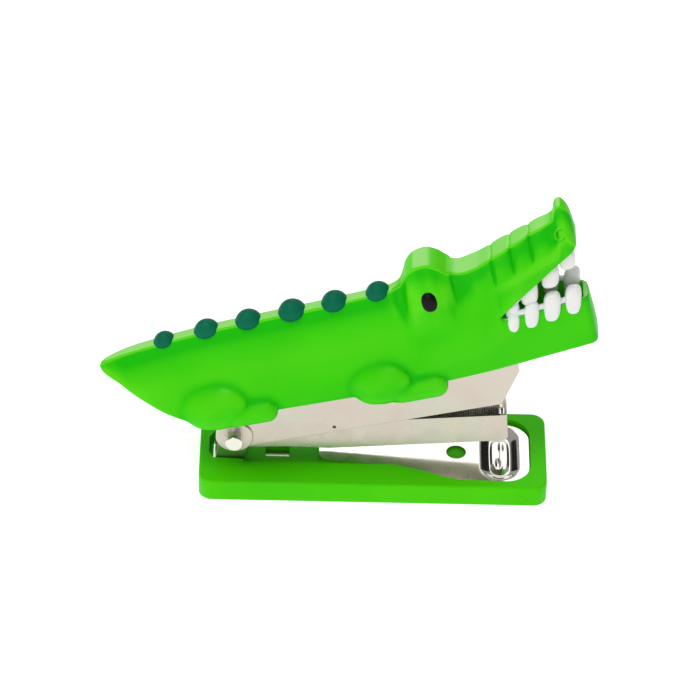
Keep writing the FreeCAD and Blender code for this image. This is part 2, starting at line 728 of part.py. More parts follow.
def crocodile_shell():
    knob = rod_y(snout_tip - 1.7, 41.9, 1.6, -1.6, 1.6)
    knob = joined([knob, box(snout_tip - 3.3, snout_tip, -1.6, 1.6, 38.0, 41.9)])
    rear = leg(-1.8, 11.0, 7.0, 5.6, 11.6, 5.9, 11.2)
    front = leg(34.3, 10.9, 6.3, 5.6, 48.4, 5.3, 10.6)
    shell = loft(trunk).fuse([loft(snout), loft(jaw), knob, rear, front, mirrored(rear), mirrored(front)])
    inside = [station for station in trunk if -13.0 < station[0] < 58.0]
    cavity = loft(inside, cavity_drop, shell_wall)
    open_mouth = box(inside[0][0], inside[-1][0], -shell_half_width + shell_wall, shell_half_width - shell_wall,
                     0, shell_underside + 1.0).common(loft(inside, 0, shell_wall).fuse(
                         box(-7.0, 57.0, -shell_half_width + shell_wall, shell_half_width - shell_wall,
                             0, shell_underside)))
    shell = shell.cut(cavity).cut(open_mouth)
    shell = shell.cut(box(-7.0, handle_front_high + 0.3, -handle_half_width - shell_play,
                          handle_half_width + shell_play, 0, handle_top + shell_play))
    shell = shell.cut(jaw_scoop()).fuse(screw_bosses())
    for x in boss_places:
        shell = shell.cut(rod_z(x, 0, screw_radius, handle_top, handle_top + 7.0))
    for taken in scute_shapes() + eye_shapes() + [lower_tooth_shape(), upper_tooth_shape()]:
        shell = shell.cut(taken)
    shell = shell.cut(rod_z(leaf_rivet_x, 0, 2.2, handle_top, handle_top + 0.9))
    return at_hinge(shell, handle_rest_tilt)


def shell_screws():
    screws = []
    for x in boss_places:
        head = rod_z(x, 0, 1.9, channel_roof - 1.1, channel_roof)
        slots = [box(x - 1.1, x + 1.1, -0.2, 0.2, channel_roof - 2, channel_roof - 0.6),
                 box(x - 0.2, x + 0.2, -1.1, 1.1, channel_roof - 2, channel_roof - 0.6)]
        screw = joined([head, rod_z(x, 0, screw_radius, channel_roof, handle_top + 6.8)])
        screws.append(at_hinge(screw.cut(slots[0]).cut(slots[1]), handle_rest_tilt))
    return screws


def on_handle(shapes):
    return [at_hinge(shape, handle_rest_tilt) for shape in shapes]


keep("base_moulding", [base_moulding()])
keep("anvil_plate", [anvil_plate()])
keep("hinge_bracket", [hinge_bracket()])
keep("bracket_screws", bracket_screws())
keep("pivot_pin", [pivot_pin()])
keep("pivot_washers", pivot_washers())
keep("spacer_bushes", spacer_bushes())
keep("lift_spring", [lift_spring()])
keep("magazine_channel", [magazine_channel()])
keep("staple_rail", [staple_rail()])
keep("rail_rivets", rail_rivets())
keep("follower_rod", [follower_rod()])
keep("staple_strip", [staple_strip()])
keep("pusher", [pusher()])
keep("pusher_spring", [pusher_spring()])
keep("handle_channel", [handle_channel()])
keep("driver_blade", [driver_blade()])
keep("driver_rivet", [driver_rivet()])
keep("handle_spring", [handle_spring()])
keep("crocodile_shell", [crocodile_shell()])
keep("back_scutes", on_handle(scute_shapes()))
keep("eyes", on_handle(eye_shapes()))
keep("lower_teeth", on_handle([lower_tooth_shape()]))
keep("upper_teeth", on_handle([upper_tooth_shape()]))
keep("shell_screws", shell_screws())
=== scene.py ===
"""A mini stapler whose handle is moulded as an open-mouthed crocodile: looks, light and camera.

Shapes are worked out in millimetres in the handle's or the magazine's own level frame, with the hinge
pin at (0, 0), and are then tilted and carried to the hinge in metres.
"""
import json
import logging
import math
from dataclasses import dataclass, field
from enum import Enum
from typing import Callable, Sequence

import bmesh
import bpy
import numpy as np
from mathutils import Matrix, Vector


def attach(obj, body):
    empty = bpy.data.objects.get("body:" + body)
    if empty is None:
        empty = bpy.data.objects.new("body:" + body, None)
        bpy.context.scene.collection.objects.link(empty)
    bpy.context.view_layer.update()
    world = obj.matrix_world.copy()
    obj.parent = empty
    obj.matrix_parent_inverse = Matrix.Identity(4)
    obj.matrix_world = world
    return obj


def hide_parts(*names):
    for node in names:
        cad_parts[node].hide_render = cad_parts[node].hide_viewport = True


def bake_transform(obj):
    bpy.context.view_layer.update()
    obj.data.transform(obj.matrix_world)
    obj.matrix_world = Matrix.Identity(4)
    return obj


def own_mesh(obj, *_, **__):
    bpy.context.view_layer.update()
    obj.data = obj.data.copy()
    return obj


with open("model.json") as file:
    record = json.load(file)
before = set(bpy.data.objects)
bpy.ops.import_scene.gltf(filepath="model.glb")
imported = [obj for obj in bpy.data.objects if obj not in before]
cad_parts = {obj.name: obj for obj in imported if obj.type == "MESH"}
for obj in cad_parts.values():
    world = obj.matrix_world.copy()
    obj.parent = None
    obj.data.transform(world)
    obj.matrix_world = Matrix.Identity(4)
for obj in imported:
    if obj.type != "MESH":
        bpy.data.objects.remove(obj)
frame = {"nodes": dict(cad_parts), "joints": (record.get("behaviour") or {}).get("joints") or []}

Output = bpy.types.NodeSocket
Flank = Callable[[np.ndarray, np.ndarray], np.ndarray]
Placing = Callable[[np.ndarray], np.ndarray]

LOG = logging.getLogger("stapler")
MM = 0.001
WELD = 1e-7
RING_REACHES = (0.9, 1.9)
FULL_HOLLOW = 0.2
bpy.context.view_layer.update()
HINGE = np.array(next(joint["pos_m"] for joint in frame["joints"] if joint["name"] == "handle_hinge")) / MM


# ---------------------------------------------------------------- surfaces

def eased(x: np.ndarray, low: float, high: float) -> np.ndarray:
    """Smooth step: 0 below low, 1 above high, 3s^2 - 2s^3 between.

    Args:
        x: where it is wanted.
        low: where it starts to rise.
        high: where it is full.

    Returns:
        Values from 0 to 1.
    """
    share = np.clip((np.asarray(x, float) - low) / (high - low), 0.0, 1.0)
    return share * share * (3.0 - 2.0 * share)


def curve_through(points: Sequence[tuple[float, float]], x: np.ndarray) -> np.ndarray:
    """A monotone cubic through a few points, with the harmonic mean of two chords as each tangent.

    Args:
        points: (x, value) pairs, left to right.
        x: where it is wanted.

    Returns:
        The curve's values, held level past its ends.
    """
    known_x, known_y = np.array(points, float).T
    step = np.diff(known_x)
    chord = np.diff(known_y) / step
    same_way = chord[:-1] * chord[1:] > 0
    both = np.where(same_way, chord[:-1] + chord[1:], 1.0)
    mean = np.where(same_way, 2 * chord[:-1] * chord[1:] / both, 0.0)
    tangent = np.concatenate([chord[:1], mean, chord[-1:]])
    x = np.clip(np.asarray(x, float), known_x[0], known_x[-1])
    index = np.clip(np.searchsorted(known_x, x, side="right") - 1, 0, len(step) - 1)
    t = (x - known_x[index]) / step[index]
    return (known_y[index] * (1 + 2 * t) * (1 - t) ** 2 + known_y[index + 1] * t * t * (3 - 2 * t)
            + step[index] * (tangent[index] * t * (1 - t) ** 2 - tangent[index + 1] * t * t * (1 - t)))


def grid_faces(rows: int, columns: int, start: int, closed_columns: bool) -> np.ndarray:
    """Four-sided faces of a grid of vertices kept row by row.

    Args:
        rows: how many rows of vertices.
        columns: how many vertices in a row.
        start: the number of the first vertex.
        closed_columns: whether each row's end joins its start.

    Returns:
        An array of vertex numbers, one face a line.
    """
    row = np.arange(rows - 1)[:, None]
    column = np.arange(columns if closed_columns else columns - 1)[None, :]
    next_row, next_column = row + 1, (column + 1) % columns
    corners = [row * columns + column, row * columns + next_column,
               next_row * columns + next_column, next_row * columns + column]
    corners = [np.broadcast_to(corner, (row.size, column.size)) for corner in corners]
    return np.stack(corners, -1).reshape(-1, 4) + start


@dataclass
class Surface:
    """A bag of grids that becomes one mesh object, with each grid's painted shade values, from its hollowness
    and painted bands, kept as an attribute.
    """

    vertices: list = field(default_factory=list)
    faces: list = field(default_factory=list)
    painted_shades: list = field(default_factory=list)
    count: int = 0

    def add_grid(self, points: np.ndarray, closed_columns: bool = False,
                 hollow: np.ndarray | None = None) -> "Surface":
        """Takes a grid of points of shape (rows, columns, 3).

        Args:
            points: the grid, in millimetres.
            closed_columns: whether each row's end joins its start.
            hollow: the painted shade value at each point, from how hollow the surface is, where that is
                wanted.

        Returns:
            This surface.
        """
        rows, columns = points.shape[:2]
        self.faces.append(grid_faces(rows, columns, self.count, closed_columns))
        self.vertices.append(points.reshape(-1, 3))
        self.painted_shades.append((np.zeros(points.shape[:2]) if hollow is None else hollow).ravel())
        self.count += rows * columns
        return self

    def mirrored(self) -> "Surface":
        """Adds the same grids again on the other side of y = 0.

        Returns:
            This surface.
        """
        offset = self.count
        self.vertices += [v * np.array([1.0, -1.0, 1.0]) for v in list(self.vertices)]
        self.faces += [f[:, ::-1] + offset for f in list(self.faces)]
        self.painted_shades += list(self.painted_shades)
        self.count *= 2
        return self

    def to_object(self, name: str, place: Placing, weld: float = 0.0) -> bpy.types.Object:
        """Makes the mesh object, with its place in its mesh.

        Args:
            name: the piece's name.
            place: carries points in millimetres to metres in the row frame.
            weld: how near two vertices are joined, in metres, or 0 for none.

        Returns:
            The linked object, smooth shaded.
        """
        mesh = bpy.data.meshes.new(name)
        points = place(np.concatenate(self.vertices))
        mesh.from_pydata(points.tolist(), [], np.concatenate(self.faces).tolist())
        hollow = np.concatenate(self.painted_shades).astype(np.float32)
        # the attribute is a painted shade and painted highlight map, read by the skin's colour
        if hollow.any():
            mesh.attributes.new("hollow", "FLOAT", "POINT").data.foreach_set("value", hollow)
        if weld:
            shape = bmesh.new()
            shape.from_mesh(mesh)
            bmesh.ops.remove_doubles(shape, verts=shape.verts, dist=weld)
            bmesh.ops.dissolve_degenerate(shape, edges=shape.edges, dist=weld)
            bmesh.ops.recalc_face_normals(shape, faces=shape.faces)
            shape.to_mesh(mesh)
            shape.free()
        mesh.validate()
        mesh.polygons.foreach_set("use_smooth", np.ones(len(mesh.polygons), bool))
        piece = bpy.data.objects.new(name, mesh)
        bpy.context.scene.collection.objects.link(piece)
        return piece


def hollowness(width: Flank, x: np.ndarray, z: np.ndarray,
               low: np.ndarray, high: np.ndarray) -> np.ndarray:
    """How far a flank lies inside the mean of itself on two rings round each point.

    Args:
        width: the flank's half-width at (x, z).
        x: places along the body.
        z: heights.
        low: the lowest height that counts at each place.
        high: the highest.

    Returns:
        Values from -1 on an edge to 1 in a hollow.
    """
    total = np.zeros_like(x)
    turns = np.arange(8) * math.pi / 4
    for reach in RING_REACHES:
        for turn in turns:
            total += width(x + reach * math.cos(turn), np.clip(z + reach * math.sin(turn), low, high))
    mean = total / (len(RING_REACHES) * len(turns))
    return np.clip((mean - width(x, z)) / FULL_HOLLOW, -1, 1)


@dataclass(frozen=True)
class Swing:
    """The level frame of a group that swings on the hinge pin, tilted nose up by some degrees at rest."""

    tilt: float

    def __call__(self, points: np.ndarray) -> np.ndarray:
        """Turns points by the rest tilt and carries them to the hinge.

        Args:
            points: points of the level frame, in millimetres, of shape (n, 3).

        Returns:
            The same points in the row frame, in metres.
        """
        turn = math.radians(self.tilt)
        x, y, z = np.asarray(points, float).T
        ahead = x * math.cos(turn) - z * math.sin(turn)
        up = x * math.sin(turn) + z * math.cos(turn)
        return (np.stack([ahead, y, up], -1) + HINGE) * MM

    def point(self, x: float, y: float, z: float) -> tuple[float, float, float]:
        """Carries one point.

        Args:
            x: its place ahead of the pin, in millimetres.
            y: its place across.
            z: its height over the pin.

        Returns:
            The point in the row frame, in metres.
        """
        return tuple(self(np.array([[x, y, z]]))[0])

    def direction(self, x: float, z: float) -> tuple[float, float, float]:
        """Turns one direction of the middle plane.

        Args:
            x: its part ahead.
            z: its part upwards.

        Returns:
            The direction in the row frame.
        """
        turn = math.radians(self.tilt)
        return (x * math.cos(turn) - z * math.sin(turn), 0.0, x * math.sin(turn) + z * math.cos(turn))


HANDLE = Swing(13.85)
MAGAZINE = Swing(4.9)
BASE = Swing(0.0)


def level_frame(points: np.ndarray) -> np.ndarray:
    """Carries points of the row frame, unturned.

    Args:
        points: points in millimetres.

    Returns:
        The same points in metres.
    """
    return np.asarray(points, float) * MM


def tube(path: np.ndarray, radius: float, sides: int = 12) -> np.ndarray:
    """A round wire along a path: each ring is centre + radius (cos a * normal + sin a * binormal).

    Args:
        path: points along the wire's middle, of shape (n, 3).
        radius: the wire's radius.
        sides: vertices in a ring.

    Returns:
        A grid of shape (n + 2, sides, 3), closed at both ends by rings of no size.
    """
    ahead = np.gradient(path, axis=0)
    ahead /= np.linalg.norm(ahead, axis=1, keepdims=True)
    across = np.cross(ahead, np.array([0.13, 0.97, 0.21]))
    across /= np.linalg.norm(across, axis=1, keepdims=True)
    other = np.cross(ahead, across)
    angle = np.linspace(0, 2 * math.pi, sides, endpoint=False)
    rings = (path[:, None] + radius * (np.cos(angle)[None, :, None] * across[:, None]
                                       + np.sin(angle)[None, :, None] * other[:, None]))
    ends = [np.repeat(path[i][None, None], sides, 1) for i in (0, -1)]
    return np.concatenate([ends[0], rings, ends[1]])


def bent(value: np.ndarray, power: float) -> np.ndarray:
    """Raises the size of a sine or cosine to 2 / power and keeps its sign.

    Args:
        value: the sine or cosine.
        power: 2 leaves it as it is, more squares the curve up and less sharpens it.

    Returns:
        The bent values.
    """
    return np.sign(value) * np.abs(value) ** (2.0 / power)


def rounded_solid(size: Sequence[float], power: float, columns: int = 28, rows: int = 18,
                  upright: float | None = None) -> np.ndarray:
    """A superellipsoid: (|x/a|^p + |y/b|^p)^(q/p) + |z/c|^q = 1, about the origin.

    Args:
        size: its half-sizes (a, b, c).
        power: p, where 2 is round, more is boxy and less is pointed.
        upright: q, or None where it is the same as p.
        columns: vertices round it.
        rows: vertices from pole to pole.

    Returns:
        A grid of shape (rows, columns, 3) whose ends are its poles.
    """
    tall = upright or power

    height = np.linspace(-math.pi / 2, math.pi / 2, rows)[:, None]
    around = np.linspace(0, 2 * math.pi, columns, endpoint=False)[None, :]
    x = bent(np.cos(height), tall) * bent(np.cos(around), power)
    y = bent(np.cos(height), tall) * bent(np.sin(around), power)
    z = bent(np.sin(height), tall) * np.ones_like(around)
    return np.stack([x, y, z], -1) * np.array(size, float)


def leaned(points: np.ndarray, lean: float) -> np.ndarray:
    """Turns points about the X axis, so that their tops lean inwards on the +Y side.

    Args:
        points: a grid of points.
        lean: the angle in degrees.

    Returns:
        The turned grid.
    """
    turn = math.radians(lean)
    x, y, z = points[..., 0], points[..., 1], points[..., 2]
    return np.stack([x, y * math.cos(turn) - z * math.sin(turn), y * math.sin(turn) + z * math.cos(turn)], -1)


# ---------------------------------------------------------------- finishes

class Socket(str, Enum):
    """The shader inputs that finishes set."""

    COLOUR = "Base Color"
    ROUGHNESS = "Roughness"
    METAL = "Metallic"
    NORMAL = "Normal"
    SPECULAR = "Specular IOR Level"
    GLOW = "Emission Strength"
    GLOW_COLOUR = "Emission Color"
    COAT = "Coat Weight"
    COAT_ROUGHNESS = "Coat Roughness"
    SUBSURFACE = "Subsurface Weight"
    SCATTER = "Subsurface Scale"


@dataclass
class Nodes:
    """A material's node tree, with short ways to add to it."""

    material: bpy.types.Material

    @classmethod
    def named(cls, name: str) -> "Nodes":
        """Starts a material that has a principled shader and nothing else.

        Args:
            name: the material's name.

        Returns:
            Its nodes.
        """
        material = bpy.data.materials.new(name)
        material.use_nodes = True
        return cls(material)

    @property
    def shader(self) -> bpy.types.Node:
        """The principled shader.

        Returns:
            Its node.
        """
        return self.material.node_tree.nodes["Principled BSDF"]

    def add(self, kind: str, **settings: object) -> bpy.types.Node:
        """Adds a node.

        Args:
            kind: the node's type.
            settings: its properties by name, or its inputs by name with "in_" before them.

        Returns:
            The node.
        """
        node = self.material.node_tree.nodes.new(kind)
        for key, value in settings.items():
            if key.startswith("in_"):
                node.inputs[key[3:].replace("_", " ")].default_value = value
            else:
                setattr(node, key, value)
        return node

    def join(self, source: Output, target: Output) -> None:
        """Links one socket to another.

        Args:
            source: the output.
            target: the input.
        """
        self.material.node_tree.links.new(source, target)

    def give(self, source: Output, socket: Socket) -> None:
        """Links an output to one of the shader's inputs.

        Args:
            source: the output.
            socket: which input.
        """
        self.join(source, self.shader.inputs[socket])

    def place(self, scale: Sequence[float] = (1, 1, 1), turn: Sequence[float] = (0, 0, 0)) -> Output:
        """Adds object coordinates.

        Args:
            scale: how much a Mapping node stretches them.
            turn: how far it turns them, in radians.

        Returns:
            The vector's socket.
        """
        here = self.add("ShaderNodeTexCoord")
        mapping = self.add("ShaderNodeMapping", in_Scale=scale, in_Rotation=turn)
        self.join(here.outputs["Object"], mapping.inputs["Vector"])
        return mapping.outputs["Vector"]

    def noise(self, scale: float, detail: float, where: Output | None = None) -> Output:
        """Adds fractal noise.

        Args:
            scale: how many waves a metre.
            detail: how many finer layers.
            where: the coordinates, or None for plain object coordinates.

        Returns:
            The noise's socket.
        """
        noise = self.add("ShaderNodeTexNoise", in_Scale=scale, in_Detail=detail)
        self.join(where or self.place(), noise.inputs["Vector"])
        return noise.outputs["Fac"]

    def ramp(self, value: Output, *stops: tuple[float, Sequence[float]]) -> Output:
        """Adds a colour ramp.

        Args:
            value: what it reads.
            stops: (place, colour) pairs.

        Returns:
            The colour's socket.
        """
        ramp = self.add("ShaderNodeValToRGB")
        elements = ramp.color_ramp.elements
        while len(elements) < len(stops):
            elements.new(0.5)
        for element, (spot, colour) in zip(elements, stops):
            element.position = spot
            element.color = (*colour, 1.0)
        self.join(value, ramp.inputs["Fac"])
        return ramp.outputs["Color"]

    def spread(self, value: Output, start: tuple[float, float], end: tuple[float, float],
               smooth: bool = False) -> Output:
        """Maps one range of a value onto another.

        Args:
            value: what it reads.
            start: the range that counts.
            end: the range that it becomes.
            smooth: whether it eases in and out.

        Returns:
            The mapped value's socket.
        """
        spread = self.add("ShaderNodeMapRange", interpolation_type="SMOOTHSTEP" if smooth else "LINEAR")
        for key, number in zip(("From Min", "From Max", "To Min", "To Max"), (*start, *end)):
            spread.inputs[key].default_value = number
        self.join(value, spread.inputs["Value"])
        return spread.outputs["Result"]

    def mixed(self, share: Output, body: Output,
              colour: Sequence[float]) -> Output:
        """Mixes a plain colour into another.

        Args:
            share: how much of the plain colour.
            body: the other colour.
            colour: the plain one.

        Returns:
            The mixed colour's socket.
        """
        mix = self.add("ShaderNodeMix", data_type="RGBA")
        mix.inputs["B"].default_value = (*colour, 1.0)
        self.join(share, mix.inputs["Factor"])
        self.join(body, mix.inputs["A"])
        return mix.outputs["Result"]

    def bump(self, *heights: tuple[Output, float, float]) -> None:
        """Stacks bumps and gives them to the shader.

        Args:
            heights: (height, strength, depth in metres) of each.
        """
        below = None
        for height, strength, depth in heights:
            bump = self.add("ShaderNodeBump", in_Strength=strength, in_Distance=depth)
            self.join(height, bump.inputs["Height"])
            if below is not None:
                self.join(below, bump.inputs["Normal"])
            below = bump.outputs["Normal"]
        self.give(below, Socket.NORMAL)

    def set(self, **values: float | Sequence[float]) -> None:
        """Sets the shader's own sockets.

        Args:
            values: the numbers or colours, by the names of Socket.
        """
        for key, value in values.items():
            self.shader.inputs[Socket[key]].default_value = value


NOISE = (0.3, 0.7)


@dataclass(frozen=True)
class MouldedPlastic:
    """Injection-moulded plastic: a slight colour drift, fine moulding grain and a soft gloss, with painted
    shade and painted highlights in the colour where a sheen strength is set.
    """

    name: str
    colour: tuple[float, float, float]
    shade: tuple[float, float, float]
    roughness: float
    grain: float
    coat: float = 0.0
    scatter: float = 0.0
    specular: float = 0.2
    # Painted light on the skin: the first is the strength of a painted sheen on faces that look up; the
    # colours are painted shade where the surface is hollow, a painted highlight on edges and the painted
    # sheen.
    top_sheen: float = 0.0
    painted_shade_colour: tuple[float, float, float] = (0.003, 0.50, 0.0)
    painted_highlight_colour: tuple[float, float, float] = (0.16, 0.80, 0.015)
    painted_sheen_colour: tuple[float, float, float] = (0.62, 0.92, 0.42)

    def build(self) -> bpy.types.Material:
        """Builds the material.

        Returns:
            Colour between shade and colour by a soft noise, with painted shade and painted highlights mixed
            in where a sheen strength is set, and a fine grain in the gloss and the bump.
        """
        nodes = Nodes.named(self.name)
        body = nodes.ramp(nodes.noise(55.0, 2.0), (0.3, self.shade), (0.7, self.colour))
        # painted shade and painted highlights are mixed into the colour where a sheen strength is set
        nodes.give(self.painted_light(nodes, body) if self.top_sheen else body, Socket.COLOUR)
        fine = nodes.noise(2600.0, 3.0)
        cloud = nodes.noise(240.0, 3.0)
        gloss = nodes.spread(cloud, NOISE, (self.roughness - 0.05, self.roughness + 0.06))
        nodes.give(gloss, Socket.ROUGHNESS)
        nodes.bump((fine, self.grain, 0.00004), (cloud, 0.06, 0.0002))
        nodes.set(COAT=self.coat, COAT_ROUGHNESS=0.18, SUBSURFACE=self.scatter, SCATTER=0.0015,
                  SPECULAR=self.specular)
        return nodes.material

    def painted_light(self, nodes: Nodes, body: Output) -> Output:
        """Paints light and shade into the colour: painted shade where the surface is hollow, a painted
        highlight on edges, and a painted sheen on faces that look up, such as the flat top of the back.

        Args:
            nodes: the material's nodes.
            body: the colour to change.

        Returns:
            The colour with painted shade and painted highlights.
        """
        hollow = nodes.add("ShaderNodeAttribute", attribute_name="hollow").outputs["Fac"]
        # painted shade: darker green where the surface is hollow
        body = nodes.mixed(nodes.spread(hollow, (0.0, 0.8), (0.0, 0.85)), body, self.painted_shade_colour)
        # painted highlight: paler green on edges
        body = nodes.mixed(nodes.spread(hollow, (0.0, -0.9), (0.0, 0.45)), body, self.painted_highlight_colour)
        # painted sheen: paler on faces that look up the handle
        facing = nodes.add("ShaderNodeVectorMath", operation="DOT_PRODUCT")
        facing.inputs[1].default_value = HANDLE.direction(0.0, 1.0)
        nodes.join(nodes.add("ShaderNodeTexCoord").outputs["Normal"], facing.inputs[0])
        upward_sheen = nodes.spread(facing.outputs["Value"], (0.80, 0.97), (0.0, self.top_sheen), smooth=True)
        return nodes.mixed(upward_sheen, body, self.painted_sheen_colour)


@dataclass(frozen=True)
class PlatedSteel:
    """Nickel-plated sheet: rolling lines along X, a faint rainbow bloom and a cloudy gloss."""

    name: str
    colour: tuple[float, float, float]
    roughness: float
    bloom: float
    lines: float
    tints: tuple = ((0.32, (1.0, 1.0, 1.0)), (0.45, (1.02, 0.90, 0.97)), (0.55, (0.93, 1.0, 1.0)),
                    (0.68, (1.03, 0.98, 0.84)))

    def build(self) -> bpy.types.Material:
        """Builds the material.

        Returns:
            A metal whose tint drifts between warm, pink and cool, brushed along X.
        """
        nodes = Nodes.named(self.name)
        stops = [(spot, tuple(c * k for c, k in zip(self.colour, tint))) for spot, tint in self.tints]
        mix = nodes.add("ShaderNodeMix", data_type="RGBA", in_Factor=self.bloom)
        mix.inputs["A"].default_value = (*self.colour, 1.0)
        nodes.join(nodes.ramp(nodes.noise(50.0, 1.5), *stops), mix.inputs["B"])
        nodes.give(mix.outputs["Result"], Socket.COLOUR)
        rolled = nodes.noise(1.0, 4.0, nodes.place((60.0, 5000.0, 5000.0), (0, math.radians(8.0), 0)))
        cloud = nodes.noise(260.0, 2.0)
        gloss = nodes.spread(cloud, NOISE, (self.roughness - 0.06, self.roughness + 0.08))
        nodes.give(gloss, Socket.ROUGHNESS)
        nodes.bump((rolled, self.lines, 0.00003))
        nodes.set(METAL=1.0)
        return nodes.material


@dataclass(frozen=True)
class BrightPlate:
    """Mirror-bright nickel with a slight ripple and faint hair scratches."""

    name: str
    colour: tuple[float, float, float] = (0.76, 0.73, 0.68)
    roughness: float = 0.07

    def build(self) -> bpy.types.Material:
        """Builds the material.

        Returns:
            A nearly clear mirror, waved by the drawing of the sheet.
        """
        nodes = Nodes.named(self.name)
        haze = nodes.noise(120.0, 2.0)
        dull = tuple(c * 0.80 for c in self.colour)
        nodes.give(nodes.ramp(haze, (0.35, self.colour), (0.7, dull)), Socket.COLOUR)
        nodes.give(nodes.spread(haze, NOISE, (self.roughness * 0.6, self.roughness * 1.9)), Socket.ROUGHNESS)
        ripple = nodes.noise(160.0, 2.0)
        hair = nodes.noise(1.0, 5.0, nodes.place((300.0, 6000.0, 300.0), (0, 0, 0.5)))
        nodes.bump((ripple, 0.1, 0.00012), (hair, 0.03, 0.00002))
        nodes.set(METAL=1.0)
        return nodes.material


class Finish(Enum):
    """Every finish on the stapler."""

    # The skin's colour carries painted shade and painted highlights, with a painted sheen of 0.45 on faces
    # that look up.
    SKIN = MouldedPlastic("green_moulding", (0.052, 0.67, 0.0008), (0.040, 0.61, 0.0004), roughness=0.40,
                          grain=0.10, specular=0.08, top_sheen=0.45)
    BASE = MouldedPlastic("green_base_moulding", (0.076, 0.66, 0.0008), (0.062, 0.61, 0.0006), roughness=0.42,
                          grain=0.14, specular=0.06)
    SCUTE = MouldedPlastic("teal_moulding", (0.0005, 0.165, 0.085), (0.0005, 0.13, 0.062), roughness=0.42,
                           grain=0.3, specular=0.1)
    TOOTH = MouldedPlastic("white_moulding", (0.88, 0.88, 0.86), (0.84, 0.84, 0.81), roughness=0.3,
                           grain=0.06, coat=0.3, scatter=0.15)
    EYE = MouldedPlastic("black_gloss", (0.004, 0.002, 0.005), (0.003, 0.002, 0.003), roughness=0.15,
                         grain=0.02, specular=0.15)
    SHEET = PlatedSteel("nickel_sheet", (0.60, 0.55, 0.47), roughness=0.30, bloom=0.6, lines=0.06)
    INNER = PlatedSteel("nickel_inner", (0.66, 0.62, 0.56), roughness=0.36, bloom=0.4, lines=0.2)
    PIN = PlatedSteel("nickel_pin", (0.80, 0.76, 0.70), roughness=0.22, bloom=0.3, lines=0.05)
    SPRING = PlatedSteel("spring_wire", (0.42, 0.41, 0.39), roughness=0.28, bloom=0.2, lines=0.05)
    STAPLE = PlatedSteel("staple_wire", (0.74, 0.74, 0.75), roughness=0.25, bloom=0.1, lines=0.05)
    CHROME = BrightPlate("bright_plate")
    BLADE = BrightPlate("blade_plate", (0.82, 0.79, 0.73), 0.12)
    # black screws; on the side dimples the same black is painted shade
    SCREW = PlatedSteel("black_screw", (0.09, 0.09, 0.10), roughness=0.4, bloom=0.1, lines=0.1)


@dataclass
class Wardrobe:
    """Builds each finish once and hands it out."""

    made: dict = field(default_factory=dict)

    def material(self, finish: Finish) -> bpy.types.Material:
        """Finds or builds a finish's material.

        Args:
            finish: which finish.

        Returns:
            The material.
        """
        if finish not in self.made:
            self.made[finish] = finish.value.build()
        return self.made[finish]

    def dress(self, piece: bpy.types.Object, finish: Finish) -> None:
        """Gives a piece its finish.

        Args:
            piece: the object.
            finish: which finish.
        """
        piece.data.materials.clear()
        piece.data.materials.append(self.material(finish))

    def dress_node(self, node: str, finish: Finish) -> None:
        """Gives a node of the frame its finish.

        Args:
            node: the node's name.
            finish: which finish.
        """
        holder = frame["nodes"][node]
        if not holder.material_slots:
            holder.data.materials.append(None)
        for material_slot in holder.material_slots:
            material_slot.material = self.material(finish)


WARDROBE = Wardrobe()


def ready(piece: bpy.types.Object, body: str, finish: Finish, slot: str, *nodes: str) -> bpy.types.Object:
    """Dresses a finished piece, lets it ride on its body and stand for its nodes.

    Args:
        piece: the object.
        body: the body it moves with.
        finish: its finish.
        slot: the record's material slot; not used.
        nodes: the nodes of the frame that it replaces.

    Returns:
        The same object.
    """
    WARDROBE.dress(piece, finish)
    if body:
        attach(piece, body)
    if nodes:
        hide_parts(*nodes)
    LOG.info("%s: %d faces, on %s", piece.name, len(piece.data.polygons), body or "two bodies")
    return piece


# ---------------------------------------------------------------- the figure

FAR = 99.0


def swell(x: np.ndarray, middle: float, reach: float) -> np.ndarray:
    """A bell: exp(-((x - middle) / reach)^2).

    Args:
        x: where it is wanted.
        middle: where it is 1.
        reach: how far it takes to fall to 0.37.

    Returns:
        Values from 0 to 1.
    """
    return np.exp(-((x - middle) / reach) ** 2)


